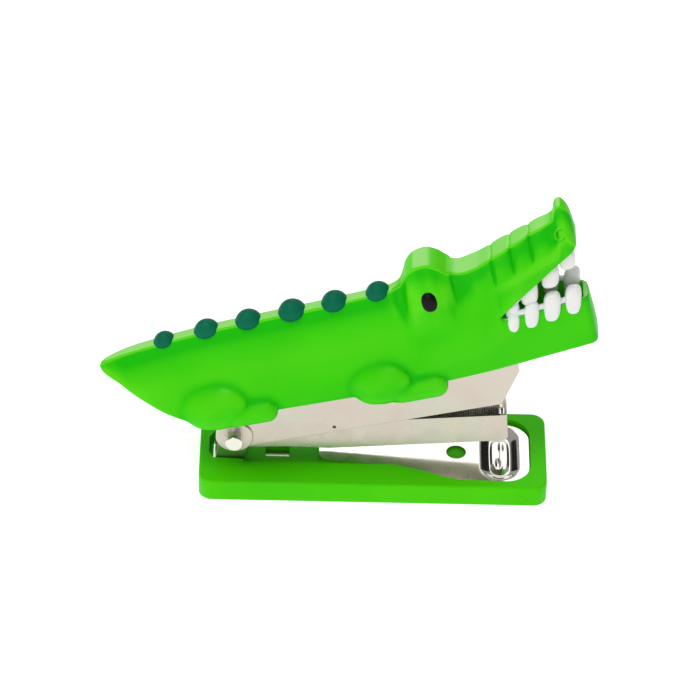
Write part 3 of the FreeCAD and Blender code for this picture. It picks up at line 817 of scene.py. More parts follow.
@dataclass(frozen=True)
class Leg:
    """One leg, seen from the side: a thigh's ellipse and a foot that points ahead."""

    middle: float
    high: float
    radius_x: float
    radius_z: float
    foot_end: float
    foot_low: float
    foot_high: float

    @property
    def foot_half(self) -> float:
        """Half of the foot's height.

        Returns:
            Millimetres.
        """
        return (self.foot_high - self.foot_low) / 2

    @property
    def foot_middle(self) -> float:
        """The height of the foot's middle.

        Returns:
            Millimetres over the pin.
        """
        return (self.foot_high + self.foot_low) / 2

    def relief(self, x: np.ndarray, z: np.ndarray, thigh_height: float, foot_height: float) -> np.ndarray:
        """How far the leg stands out: a domed thigh h (1 - r^2)^p joined to a round-topped foot.

        Args:
            x: place along the body.
            z: height.
            thigh_height: h, at the thigh's middle.
            foot_height: the same along the foot.

        Returns:
            Millimetres outwards. The thigh's edge is softest at its rear top, p = 1.3, and crispest ahead,
            p = 0.4.
        """
        across, up = (x - self.middle) / self.radius_x, (z - self.high) / self.radius_z
        reach = np.sqrt(across ** 2 + up ** 2)
        rear_top = (0.6 * up - 0.8 * across) / (reach + 1e-3)
        power = 0.42 + 0.9 * eased(rear_top, -0.1, 0.9) * eased(reach, 0.0, 0.6)
        thigh = thigh_height * np.clip(1 - reach ** 2, 0, 1) ** power
        along = np.clip(x, self.middle, self.foot_end - self.foot_half)
        off = np.sqrt((x - along) ** 2 + (z - self.foot_middle) ** 2) / self.foot_half
        start = eased(x, self.middle, self.middle + 0.6 * self.radius_x)
        foot = foot_height * np.clip(1 - off ** 2, 0, 1) ** 0.5 * start
        blend = 0.3
        return 0.5 * (thigh + foot + np.sqrt((thigh - foot) ** 2 + blend ** 2) - blend)

    def lowest(self, x: np.ndarray) -> np.ndarray:
        """The lowest point of the leg's outline.

        Args:
            x: place along the body.

        Returns:
            Its height, or a height far above the body where there is no leg.
        """
        across = (x - self.middle) / self.radius_x
        arc = self.radius_z * np.sqrt(np.clip(1 - across ** 2, 0, 1))
        thigh = np.where(np.abs(across) < 1, self.high - arc, FAR)
        past = np.clip(x - (self.foot_end - self.foot_half), 0, self.foot_half)
        foot = self.foot_middle - np.sqrt(self.foot_half ** 2 - past ** 2)
        return np.minimum(thigh, np.where((x > self.middle) & (x < self.foot_end), foot, FAR))


@dataclass
class CrocodileSkin:
    """The green moulding: trunk, tail, legs, brow, snout and jaws, as one hollow skin.

    Every curve runs along the handle's own level frame: x from the hinge to the nose, z upwards.
    """

    ridge: tuple = ((-24.9, 20.3), (-24.1, 21.3), (-21.7, 22.3), (-17.5, 23.4), (-12.2, 24.2), (-5.9, 25.0),
                    (2.7, 25.8), (15.5, 26.5), (25.4, 27.0), (34.0, 27.6), (39.8, 28.1), (42.2, 29.0),
                    (43.6, 30.8), (44.8, 33.0), (46.8, 34.5), (49.0, 34.9), (51.4, 33.7), (53.2, 31.9),
                    (55.6, 30.9), (59.1, 31.6), (62.1, 32.9), (68.3, 35.8), (72.6, 37.8), (76.4, 39.4),
                    (77.3, 40.1), (77.9, 42.0), (78.5, 42.9), (79.2, 43.1), (80.1, 42.3), (80.8, 40.7),
                    (81.1, 39.0))
    ridge_half: tuple = ((-24.9, 0.05), (-23.8, 0.5), (-20.0, 0.95), (-12.0, 1.2), (38.0, 1.25), (43.0, 1.6),
                         (48.0, 2.0), (52.0, 2.3), (56.5, 2.9), (62.0, 2.6), (68.0, 2.3), (72.0, 1.9),
                         (77.0, 1.8), (81.1, 1.5))
    belly_half: tuple = ((-24.9, 0.1), (-24.4, 1.2), (-23.0, 2.6), (-20.5, 4.1), (-16.8, 5.9), (-12.2, 7.7),
                         (-7.0, 8.8), (-1.0, 9.3), (38.0, 9.3), (46.0, 9.15), (54.5, 8.5), (58.0, 8.1),
                         (63.3, 7.3), (68.0, 6.5), (75.3, 5.3), (81.0, 4.3))
    underside: tuple = ((-24.9, 20.1), (-24.3, 19.0), (-21.3, 17.1), (-18.7, 14.6), (-16.0, 12.4),
                        (-13.1, 10.3), (-9.8, 8.4), (-7.5, 7.5), (-6.0, 7.4), (81.0, 7.4))
    lip: tuple = ((62.2, 20.15), (63.3, 21.0), (66.8, 23.6), (71.9, 27.1), (76.5, 30.2), (79.0, 31.8),
                  (81.1, 33.2))
    lip_half: tuple = ((62.2, 6.9), (68.3, 5.9), (72.6, 5.3), (76.8, 4.7), (81.1, 4.0))
    rim: tuple = ((62.2, 20.15), (63.0, 19.45), (67.0, 19.35), (75.0, 19.2), (81.0, 18.9))
    rim_half: tuple = ((62.2, 6.9), (67.3, 5.9), (75.3, 4.5), (79.0, 3.4), (81.0, 2.6))
    tail: float = -24.9
    corner: float = 62.2
    corner_blend: float = 6.0
    split: float = 20.15
    snout_end: float = 81.1
    snout_round: tuple = (1.6, 37.0, 0.35)
    jaw_end: float = 80.9
    jaw_round: tuple = (1.3, 13.0, 0.25)
    palate_rise: float = 1.2
    mouth_floor: float = 13.6
    depth: float = 18.0
    early: float = 0.28
    brow_line: tuple = ((39.8, 28.1), (59.1, 31.6))
    legs: tuple = (Leg(-1.9, 10.3, 7.5, 4.8, 11.5, 5.4, 10.5), Leg(34.2, 9.9, 6.8, 4.8, 48.3, 4.5, 9.7))
    leg_height: float = 2.1
    foot_height: float = 1.7
    brow: tuple = (43.4, 53.9)
    brow_low: float = 23.0
    brow_height: float = 1.15
    brow_edge: float = 2.6
    grooves: tuple = (62.8, 67.2, 71.6)
    groove_pitch: float = 4.4
    across: tuple = (1.0, 0.8, 0.79, 0.4, 0.0)
    cavity: tuple = (-6.0, 63.6)
    cavity_half: float = 6.37
    cavity_roof: float = 11.0
    cavity_step: float = 1.8
    wall: float = 1.8
    ridge_edge: float = 0.32
    belly_edge: float = 0.7
    rows: int = 40
    pitch: float = 0.4
    weld: float = 2e-6

    def stations(self) -> np.ndarray:
        """Places along x, closer together at the brow, the grooves, the nose and the tail.

        Returns:
            A rising array from the tail's tip to the jaw's.
        """
        fine = [np.arange(self.tail, self.tail + 1.9, 0.15), np.arange(self.tail, 81.0, self.pitch),
                np.arange(40.0, 56.0, 0.25), np.arange(76.2, 81.0, 0.12)]
        fine += [place + np.linspace(-0.6, 0.6, 13) for place in self.grooves]
        fine += [[self.corner, self.cavity[0], self.cavity[0] + 0.02, self.cavity[1], self.cavity[1] + 0.02]]
        every = np.unique(np.round(np.concatenate(fine), 3))
        return every[np.concatenate([[True], np.diff(every) > 0.015])]

    def cells(self, x: np.ndarray) -> tuple[np.ndarray, np.ndarray]:
        """The cells of the snout's top, between the grooves.

        Args:
            x: place along the body.

        Returns:
            1 where there are cells, and a wave that is 0 at each groove and 1 halfway.
        """
        here = eased(x, 62.8, 63.4) * (1 - eased(x, 75.4, 76.4))
        return here, np.abs(np.sin(math.pi * (x - self.grooves[0]) / self.groove_pitch))

    def ridge_at(self, x: np.ndarray) -> np.ndarray:
        """Height of the back's ridge, nicked at the grooves and crowned a little between them.

        Args:
            x: place along the body.

        Returns:
            Heights over the pin.
        """
        height = curve_through(self.ridge, x)
        for place in self.grooves:
            height = height - 0.10 * swell(x, place, 0.25)
        here, wave = self.cells(x)
        return height + 0.03 * here * wave

    def lowest(self, x: np.ndarray) -> np.ndarray:
        """The lower edge: the underside's height, drawn down where a leg reaches below it.

        Args:
            x: place along the body.

        Returns:
            Heights over the pin.
        """
        low = curve_through(self.underside, x)
        return np.minimum.reduce([low] + [leg.lowest(x) for leg in self.legs])

    def brow_relief(self, x: np.ndarray, z: np.ndarray) -> np.ndarray:
        """The swelling round the eye, and the folds behind and ahead of it.

        Args:
            x: place along the body.
            z: height.

        Returns:
            Millimetres outwards, less than 0 in the folds.
        """
        side = np.minimum((x - self.brow[0]) * 0.8, (self.brow[1] - x) * 1.25)
        share = np.clip(np.minimum(side, (z - self.brow_low) * 0.6) / self.brow_edge, 0, 1)
        swelling = self.brow_height * np.sqrt(1 - (1 - share) ** 2) * eased(z, self.brow_low, 29.0)
        ahead = 0.8 * swell(x, 55.8, 2.4) * swell(z, 27.5, 2.8)
        behind = 0.75 * swell(x, 42.1, 1.2) * swell(z, 26.0, 3.0)
        return swelling - ahead - behind

    def relief(self, x: np.ndarray, z: np.ndarray) -> np.ndarray:
        """What stands out from the plain flank: legs, brow, the cells between grooves, and the lip's roll.

        Args:
            x: place along the body.
            z: height.

        Returns:
            Millimetres outwards.
        """
        legs = [leg.relief(x, z, self.leg_height, self.foot_height) for leg in self.legs]
        out = np.maximum.reduce(legs + [np.zeros_like(legs[0])]) + self.brow_relief(x, z)
        depth = self.ridge_at(x) - z
        near = 1 - eased(depth, 4.2, 6.4)
        for place in self.grooves:
            out = out - 0.32 * near * swell(x, place, 0.3)
        here, wave = self.cells(x)
        roll = swell(depth, 6.6, 1.5) * eased(x, 60.0, 66.0)
        return out + 0.24 * near * here * wave + 0.45 * roll

    def plain(self, x: np.ndarray, z: np.ndarray) -> np.ndarray:
        """Half-width of the trunk: top + (belly - top)((1 - k)(3 t^2 - 2 t^3) + k (2 t - t^2)).

        Here t is the share of the depth under the ridge, and k is early.

        Args:
            x: place along the body.
            z: height.

        Returns:
            Hollow under the ridge, round at the shoulder and upright at the belly.
        """
        top, belly = curve_through(self.ridge_half, x), curve_through(self.belly_half, x)
        ridge = self.ridge_at(x)
        start, end = self.brow_line
        line = start[1] + (x - start[0]) * (end[1] - start[1]) / (end[0] - start[0])
        level = np.where((x > start[0]) & (x < end[0]), line, ridge)
        ridge = level + (ridge - level) * eased(z, 17.0, 27.0)
        full = np.minimum(self.depth, ridge - curve_through(self.underside, x) + 0.3)
        t = np.clip((ridge - z) / full, 0, 1)
        return top + (belly - top) * ((1 - self.early) * t * t * (3 - 2 * t) + self.early * t * (2 - t))

    def upper(self, x: np.ndarray, z: np.ndarray) -> np.ndarray:
        """Half-width above the mouth: the trunk's, changing to the snout's ahead of the mouth's corner.

        Args:
            x: place along the body.
            z: height.

        Returns:
            Millimetres from the middle plane.
        """
        top, lip = curve_through(self.ridge_half, x), curve_through(self.lip_half, x)
        ridge = self.ridge_at(x)
        t = np.clip((ridge - z) / (ridge - curve_through(self.lip, x)), 0, 1)
        snout = top + (lip - top) * (t - 0.75 * np.sin(2 * math.pi * t) / (2 * math.pi))
        share = eased(x, self.corner, self.corner + self.corner_blend)
        return (1 - share) * self.plain(x, z) + share * snout + self.relief(x, z)

    def lower(self, x: np.ndarray, z: np.ndarray) -> np.ndarray:
        """Half-width below the mouth: the trunk's, changing to the jaw's ahead of the mouth's corner.

        Args:
            x: place along the body.
            z: height.

        Returns:
            Millimetres from the middle plane.
        """
        rim, belly = curve_through(self.rim_half, x), curve_through(self.belly_half, x)
        t = np.clip((curve_through(self.rim, x) - z) / 9.0, 0, 1)
        jaw = rim + (belly - rim) * np.sin(math.pi / 2 * t)
        share = eased(x, self.corner, self.corner + self.corner_blend)
        return (1 - share) * self.plain(x, z) + share * jaw + self.relief(x, z)

    def surface_point(self, x: float, z: float) -> tuple[float, float]:
        """Finds the skin's flank above the mouth at one place.

        Args:
            x: place along the body.
            z: height.

        Returns:
            Its half-width, and how far it leans back in degrees.
        """
        wide = self.upper(np.array([x, x]), np.array([z - 0.5, z + 0.5]))
        return float(wide.mean()), math.degrees(math.atan2(wide[0] - wide[1], 1.0))

    def back_and_flank(self, x: np.ndarray) -> np.ndarray:
        """Rows from the ridge's middle, over its rounded edge, down to the mouth's line or the lip.

        Args:
            x: the stations.

        Returns:
            A grid of shape (rows, stations, 3).
        """
        ridge, top = self.ridge_at(x), curve_through(self.ridge_half, x)
        lip = np.where(x > self.corner, curve_through(self.lip, x), self.split)
        lip = np.minimum(lip, ridge - 0.02)
        edge = np.minimum(self.ridge_edge, (ridge - lip) * 0.3)
        crown = 0.05
        rows = [np.stack([x, share * (top - edge * 0.6), ridge - crown * share ** 2], -1)
                for share in (0.0, 0.5, 0.85)]
        start = self.upper(x, ridge - edge)
        for angle in np.radians([0.0, 30.0, 60.0]):
            rows.append(np.stack([x, start - edge * (1 - math.sin(angle)),
                                  ridge - crown - edge * (1 - math.cos(angle))], -1))
        for share in np.linspace(0, 1, self.rows) ** 1.15:
            z = ridge - edge - (ridge - edge - lip) * share
            rows.append(np.stack([x, self.upper(x, z), z], -1))
        return np.stack(rows)

    def belly(self, x: np.ndarray) -> np.ndarray:
        """Rows from the mouth's line or the jaw's rim down to the rounded lower edge.

        Args:
            x: the stations.

        Returns:
            A grid of shape (rows, stations, 3).
        """
        rim = np.where(x > self.corner, curve_through(self.rim, x), self.split)
        low = np.minimum(self.lowest(x), rim - 0.02)
        edge = np.minimum(self.belly_edge, (rim - low) * 0.4)
        rows = []
        for share in np.linspace(0, 1, self.rows):
            z = rim - (rim - low - edge) * share
            rows.append(np.stack([x, self.lower(x, z), z], -1))
        wide = self.lower(x, low + edge)
        for angle in np.radians([25.0, 50.0, 75.0, 90.0]):
            y = np.maximum(wide - edge * (1 - math.cos(angle)), 0)
            rows.append(np.stack([x, y, low + edge * (1 - math.sin(angle))], -1))
        return np.stack(rows)

    def fold_in(self, edge: np.ndarray, height: np.ndarray, inner: np.ndarray) -> np.ndarray:
        """Rows from an edge in to the middle plane, sunk to a height past the wall.

        Args:
            edge: the edge's points, of shape (stations, 3).
            height: the sunk height at each station.
            inner: half-width where the wall ends, at each station.

        Returns:
            A grid of shape (5, stations, 3).
        """
        x, y, z = edge.T
        shares = np.array(self.across) / self.across[1]
        halves = [y] + [inner * share for share in shares[1:]]
        heights = [z, z, height, height, height]
        return np.stack([np.stack([x, half, high], -1) for half, high in zip(halves, heights)])

    def front_cap(self, ring: np.ndarray, bulge: float) -> np.ndarray:
        """Closes an end: each point of its ring is joined to the middle plane, swelling forwards a little.

        Args:
            ring: the last station's points, of shape (rows, 3).
            bulge: how far the middle stands forwards.

        Returns:
            A grid of shape (rows, 5, 3).
        """
        share = np.array(self.across)[None, :]
        along = np.linspace(0, 1, len(ring))[:, None]
        x = ring[:, :1] + bulge * 4 * along * (1 - along) * (1 - share ** 2)
        return np.stack([x, ring[:, 1:2] * share, np.repeat(ring[:, 2:], share.size, 1)], -1)

    def nose_ring(self, grid: np.ndarray, end: float, radius: float, middle: float,
                  squeeze: float) -> np.ndarray:
        """Rounds the last few stations of a grid: they close in by radius (1 - sqrt(1 - s^2)) before the end.

        Args:
            grid: the grid, of shape (rows, stations, 3).
            end: where the grid ends.
            radius: the rounding's radius.
            middle: the height towards which it closes.
            squeeze: the share of the closing that heights take.

        Returns:
            The rounded grid.
        """
        x, y, z = grid[..., 0], grid[..., 1].copy(), grid[..., 2].copy()
        share = np.clip((x - (end - radius)) / radius, 0, 1)
        close = radius * (1 - np.sqrt(np.clip(1 - share ** 2, 0, 1)))
        y = np.maximum(y - close * np.minimum(1, y / (2 * radius)), 0)
        z = z + np.clip(middle - z, -1, 1) * close * squeeze
        return np.stack([x, y, z], -1)

    def painted_shade_of(self, grid: np.ndarray, width: Flank) -> np.ndarray:
        """Painted shade for a grid of the flank: darker where its relief is hollow, with painted shade bands
        under the ridge and at the belly's turn, and painted highlights along the shoulder and the ridge's
        edge.

        Args:
            grid: the grid, of shape (rows, stations, 3).
            width: the flank's half-width.

        Returns:
            Values of shape (rows, stations), from -1, a full painted highlight, along the ridge's edge to 1,
            full painted shade.
        """
        x, z = grid[..., 0], grid[..., 2]
        ridge = self.ridge_at(x)
        ahead = x > self.corner
        floor = curve_through(self.lip if width == self.upper else self.underside, x)
        roof = curve_through(self.rim, x) if width == self.lower else ridge
        value = hollowness(width, x, z, np.where(ahead, floor, self.lowest(x)), np.where(ahead, roof, ridge))
        depth = ridge - z
        softer = 0.4 * eased(depth, 8.0, 12.0) * (1 - eased(x, 56.0, 60.0))
        value = value * eased(depth, 0.3, 1.2) * (1 - softer)
        # painted shade band under the ridge
        value = value + 0.75 * swell(depth, 1.9, 1.7) * eased(x, -24.0, -18.0)
        # painted shade at the belly's turn, darker towards the bottom
        value = value + 0.35 * eased(depth, 12.0, 17.0) * (1 - eased(x, 40.0, 50.0))
        # painted highlight band along the shoulder
        value = value - 0.30 * swell(depth, 8.5, 2.6) * (1 - eased(x, 40.0, 48.0))
        # painted highlight along the ridge's edge
        edge = np.abs(depth - 0.2) < 0.34
        return np.clip(np.where(edge, -1.0, value), -1, 1)

    def build(self) -> bpy.types.Object:
        """Builds the skin.

        Returns:
            The dressed object, riding on the handle.
        """
        every = self.stations()
        above = np.append(every[every < self.snout_end - 0.02], self.snout_end)
        below = np.append(every[every < self.jaw_end - 0.04], self.jaw_end)
        back = self.nose_ring(self.back_and_flank(above), self.snout_end, *self.snout_round)
        belly = self.nose_ring(self.belly(below), self.jaw_end, *self.jaw_round)
        for grid in (back, belly):
            grid[:, 0] = (above[0], 0.0, self.split)
        # each grid carries its painted shade map for the skin's colour
        surface = Surface().add_grid(back, hollow=self.painted_shade_of(back, self.upper))
        surface.add_grid(belly, hollow=self.painted_shade_of(belly, self.lower))
        self.add_mouth(surface, above, below, back, belly)
        self.add_underside(surface, below, belly)
        surface.add_grid(self.front_cap(back[:, -1], 0.0)).add_grid(self.front_cap(belly[:, -1], 0.2))
        surface.mirrored()
        skin = surface.to_object("crocodile_skin", HANDLE, self.weld)
        return ready(skin, "handle", Finish.SKIN, "green_plastic", "crocodile_shell")

    def add_mouth(self, surface: Surface, above: np.ndarray, below: np.ndarray, back: np.ndarray,
                  belly: np.ndarray) -> None:
        """Adds the palate, the hollow of the lower jaw and the wall behind them.

        Args:
            surface: takes the grids.
            above: the stations of the upper grid.
            below: those of the lower grid.
            back: the upper grid.
            belly: the lower grid.
        """
        lip = back[-1, above >= self.corner]
        end = eased(lip[:, 0], 79.4, 79.8)
        roof = self.fold_in(lip, lip[:, 2] + self.palate_rise * (1 - end), lip[:, 1] * self.across[1])
        rim = belly[0, below >= self.corner]
        end = eased(rim[:, 0], 79.5, 79.8)
        floor = self.fold_in(rim, self.mouth_floor * (1 - end) + rim[:, 2] * end, rim[:, 1] * self.across[1])
        surface.add_grid(roof).add_grid(floor)
        share = np.linspace(0, 1, 6)[:, None, None]
        surface.add_grid(roof[None, :, 0] * (1 - share) + floor[None, :, 0] * share)

    def add_underside(self, surface: Surface, below: np.ndarray, belly: np.ndarray) -> None:
        """Adds the rim round the underside and the hollow that the handle's channel fills.

        Args:
            surface: takes the grid.
            below: the stations of the lower grid.
            belly: the lower grid.
        """
        edge = belly[-1]
        level = np.maximum(edge[:, 2], curve_through(self.underside, below))
        open_here = (below > self.cavity[0] + 0.01) & (below < self.cavity[1] + 0.01)
        roof = self.cavity_roof - self.cavity_step * eased(below, 50.0, 55.0)
        cavity = np.maximum(curve_through(self.belly_half, below) - self.wall, self.cavity_half)
        inner = np.minimum(np.where(open_here, cavity, edge[:, 1] * self.across[1]), edge[:, 1])
        rows = self.fold_in(edge, np.where(open_here, roof, edge[:, 2]), inner)
        rows[1, :, 2] = np.where(open_here, level, edge[:, 2])
        surface.add_grid(rows)


@dataclass
class Nostrils:
    """Two small C-shaped rings under the knob on the snout's sides."""

    skin: CrocodileSkin
    place: tuple[float, float] = (78.2, 36.9)
    radius: float = 1.0
    wire: float = 0.3
    tall: float = 1.15
    sunk: float = 0.08

    def build(self) -> bpy.types.Object:
        """Builds both rings from a round wire bent through three quarters of a circle.

        Returns:
            The dressed object.
        """
        x, z = self.place
        wide, lean = self.skin.surface_point(x, z)
        turn = np.radians(np.linspace(40, 320, 30))
        path = np.stack([self.radius * np.cos(turn), 0 * turn, self.tall * self.radius * np.sin(turn)], -1)
        ring = leaned(tube(path, self.wire, 10), lean) + np.array([x, wide - self.sunk, z])
        surface = Surface().add_grid(ring, closed_columns=True).mirrored()
        piece = surface.to_object("nostril_rings", HANDLE, WELD)
        return ready(piece, "handle", Finish.SKIN, "green_plastic")


@dataclass
class Scutes:
    """Six teal plates along the back: rounded cones, round from above and blunt-pointed from the side."""

    skin: CrocodileSkin
    places: tuple = (-9.7, -0.2, 9.1, 18.7, 28.0, 37.5)
    long: tuple = (2.35, 2.75, 2.85, 3.0, 2.85, 2.65)
    tall: tuple = (1.98, 2.28, 2.4, 2.6, 2.48, 2.25)
    power: float = 2.15
    upright: float = 1.62
    sunk: float = 0.25
    reach: float = 2.0

    def build(self) -> bpy.types.Object:
        """Builds all six.

        Returns:
            The dressed object.
        """
        surface = Surface()
        for place, long, tall in zip(self.places, self.long, self.tall):
            behind, height, ahead = self.skin.ridge_at(place + self.reach * np.array([-1.0, 0.0, 1.0]))
            dome = rounded_solid((long, tall * 1.02, tall * 1.06), self.power, 40, 26, self.upright)
            dome[..., 2] += (ahead - behind) / (2 * self.reach) * dome[..., 0]
            surface.add_grid(dome + np.array([place, 0, height - self.sunk]), closed_columns=True)
        piece = surface.to_object("back_scute_domes", HANDLE, WELD)
        return ready(piece, "handle", Finish.SCUTE, "teal_plastic", "back_scutes")


@dataclass
class Eyes:
    """Two black ovals set into the brow's sides."""

    skin: CrocodileSkin
    place: tuple[float, float] = (48.5, 27.1)
    size: tuple[float, float, float] = (1.66, 0.6, 2.25)
    sunk: float = 0.3

    def build(self) -> bpy.types.Object:
        """Builds both ovals, leaned back with the brow.

        Returns:
            The dressed object.
        """
        x, z = self.place
        wide, lean = self.skin.surface_point(x, z)
        oval = leaned(rounded_solid(self.size, 2.2, 36, 20), lean) + np.array([x, wide - self.sunk, z])
        piece = Surface().add_grid(oval, closed_columns=True).mirrored().to_object("eye_ovals", HANDLE, WELD)
        return ready(piece, "handle", Finish.EYE, "black_plastic", "eyes")


@dataclass(frozen=True)
class Peg:
    """One tooth of a row: its place along the jaw, its radius, and the heights of its two ends."""

    x: float
    radius: float
    low: float
    high: float


@dataclass
class Teeth:
    """A row of white pegs along each side of a jaw, on a bar that joins them.

    The bar runs from its first to its last (x, z). Positive inset moves the row towards the middle plane.
    """

    name: str
    node: str
    half: tuple
    pegs: tuple[Peg, ...]
    bar: tuple[tuple[float, float], tuple[float, float]]
    lean: float
    taper: float
    inset: float
    bar_radius: float
    forward: float = 0.21
    flat: float = 0.85
    bar_inset: float = 0.7

    def peg(self, peg: Peg) -> np.ndarray:
        """Shapes one tooth: a superellipsoid that narrows towards one end and slants forwards.

        Args:
            peg: its sizes.

        Returns:
            Its grid.
        """
        half_height = (peg.high - peg.low) / 2
        grid = rounded_solid((peg.radius, peg.radius * self.flat, half_height), 3.0, 30, 22)
        grid[..., :2] *= 1 + self.taper * grid[..., 2:] / half_height
        grid[..., 0] += self.forward * grid[..., 2]
        wide = float(curve_through(self.half, np.array([peg.x]))[0])
        place = np.array([peg.x, wide - self.inset - peg.radius * 0.55, (peg.low + peg.high) / 2])
        return leaned(grid, self.lean) + place

    def build(self) -> bpy.types.Object:
        """Builds one jaw's teeth and the bar on both sides.

        Returns:
            The dressed object.
        """
        surface = Surface()
        for peg in self.pegs:
            surface.add_grid(self.peg(peg), closed_columns=True)
        x, z = np.linspace(*self.bar, 12).T
        y = curve_through(self.half, x) - self.bar_inset - max(self.inset, 0.0)
        surface.add_grid(tube(np.stack([x, y, z], -1), self.bar_radius, 12), closed_columns=True)
        piece = surface.mirrored().to_object(self.name, HANDLE, WELD)
        return ready(piece, "handle", Finish.TOOTH, "white_plastic", self.node)


@dataclass
class Crocodile:
    """The figure: its skin and everything set into it."""

    skin: CrocodileSkin = field(default_factory=CrocodileSkin)
    lower_pegs: tuple = (Peg(64.5, 1.35, 15.7, 20.0), Peg(68.6, 1.6, 15.5, 21.7), Peg(73.1, 1.85, 15.7, 22.7),
                         Peg(77.6, 1.8, 15.7, 22.7))
    upper_pegs: tuple = (Peg(64.9, 1.5, 18.5, 22.6), Peg(69.2, 1.8, 20.8, 26.4), Peg(74.2, 1.85, 23.8, 29.4),
                         Peg(78.5, 1.65, 27.4, 32.4))

    def build(self) -> list[bpy.types.Object]:
        """Builds the whole figure.

        Returns:
            Its pieces.
        """
        lower = Teeth("lower_tooth_row", "lower_teeth", self.skin.rim_half, self.lower_pegs,
                      ((64.2, 19.9), (77.8, 19.9)), lean=3.0, taper=0.07, inset=-0.35, bar_radius=0.62)
        upper = Teeth("upper_tooth_row", "upper_teeth", self.skin.lip_half, self.upper_pegs,
                      ((64.6, 21.972), (78.6, 32.052)), lean=0.0, taper=-0.08, inset=0.95, bar_radius=0.9)
        return [self.skin.build(), Nostrils(self.skin).build(), Scutes(self.skin).build(),
                Eyes(self.skin).build(), lower.build(), upper.build()]


# ---------------------------------------------------------------- springs and staples

@dataclass
class PusherCoil:
    """The compression spring on the follower rod, a helix: y = r cos a, z = r sin a, x grows with a."""

    start: float = 15.44
    end: float = 31.2
    height: float = -2.6
    radius: float = 1.35
    wire: float = 0.19
    turns: int = 13
    stroke: float = 9.0

    def build(self) -> bpy.types.Object:
        """Builds the helix.

        Returns:
            The dressed object.
        """
        angle = np.linspace(0, 2 * math.pi * self.turns, self.turns * 22)
        along = np.linspace(self.start + self.wire, self.end - self.wire, angle.size)
        path = np.stack([along, self.radius * np.cos(angle), self.height + self.radius * np.sin(angle)], -1)
        surface = Surface().add_grid(tube(path, self.wire, 8), closed_columns=True)
        piece = ready(surface.to_object("pusher_coil", MAGAZINE, WELD), "magazine", Finish.SPRING,
                      "spring_steel", "pusher_spring")
        keep = 1 - self.stroke / (self.end - self.start)
        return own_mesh(piece, "pusher_slide", MAGAZINE.direction(1.0, 0.0),
                         MAGAZINE.point(self.start, 0, self.height), keep)


@dataclass
class LiftCoil:
    """The torsion spring on the hinge pin, with a leg down to the base and a leg out under the rail."""

    radius: float = 2.65
    wire: float = 0.33
    half_width: float = 2.5
    turns: int = 7
    floor: float = -10.45
    reach: tuple[float, float] = (12.4, -0.1)

    def build(self) -> bpy.types.Object:
        """Builds one wire: leg, coil and leg.

        Returns:
            The dressed object.
        """
        angle = np.linspace(math.pi, -math.pi / 2 - 2 * math.pi * (self.turns - 1), self.turns * 26)
        across = np.linspace(-self.half_width, self.half_width, angle.size)
        coil = np.stack([self.radius * np.cos(angle), across, self.radius * np.sin(angle)], -1)
        down = np.stack([np.linspace(-self.radius + 0.6, -self.radius, 8), np.full(8, -self.half_width),
                         np.linspace(self.floor, -0.4, 8)], -1)
        ahead = np.stack([np.linspace(0.6, self.reach[0], 12), np.full(12, self.half_width),
                          np.linspace(-self.radius, self.reach[1] - 0.6, 12)], -1)
        wire = tube(np.concatenate([down, coil, ahead]), self.wire, 8)
        surface = Surface().add_grid(wire, closed_columns=True)
        piece = surface.to_object("lift_coil", BASE, WELD)
        ready(piece, "", Finish.SPRING, "spring_steel", "lift_spring")
        near, far = BASE.point(0, 0, -self.radius), BASE.point(self.reach[0], 0, -0.6)
        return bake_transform(piece)


@dataclass
class StapleStrip:
    """A stick of staples, each a wire bent square round the rail."""

    first: float = 36.85
    last: float = 56.75
    count: int = 40
    half_width: float = 4.2
    low: float = -4.72
    high: float = 0.25
    wire: float = 0.245

    def build(self) -> bpy.types.Object:
        """Builds every staple with one path: up a leg, across the crown and down the other leg.

        Returns:
            The dressed object.
        """
        half, top, bend = self.half_width - self.wire, self.high - self.wire, 0.35
        side = [(half, self.low), (half, top - bend), (half - 0.1, top - 0.1), (half - bend, top)]
        outline = np.array(side + [(0.0, top)] + [(-y, z) for y, z in reversed(side)])
        surface = Surface()
        for place in np.linspace(self.first + self.wire, self.last - self.wire, self.count):
            path = np.column_stack([np.full(len(outline), place), outline])
            surface.add_grid(tube(path, self.wire, 8), closed_columns=True)
        piece = surface.to_object("staples", MAGAZINE, WELD)
        return ready(piece, "magazine", Finish.STAPLE, "staple_wire", "staple_strip")


# ---------------------------------------------------------------- metalwork and base

@dataclass
class SoftEdges:
    """Small rounded edges on a node of the frame, by modifiers."""

    width: float
    segments: int = 2
    angle: float = 38.0

    def apply_to(self, node: str) -> None:
        """Adds a weld and a bevel to a node.

        Args:
            node: the node's name.
        """
        piece = frame["nodes"][node]
        weld = piece.modifiers.new("join", "WELD")
        weld.merge_threshold = 2e-6
        bevel = piece.modifiers.new("soften", "BEVEL")
        bevel.width = self.width * MM
        bevel.segments = self.segments
        bevel.limit_method = "ANGLE"
        bevel.angle_limit = math.radians(self.angle)
        bevel.use_clamp_overlap = True
        bevel.harden_normals = True


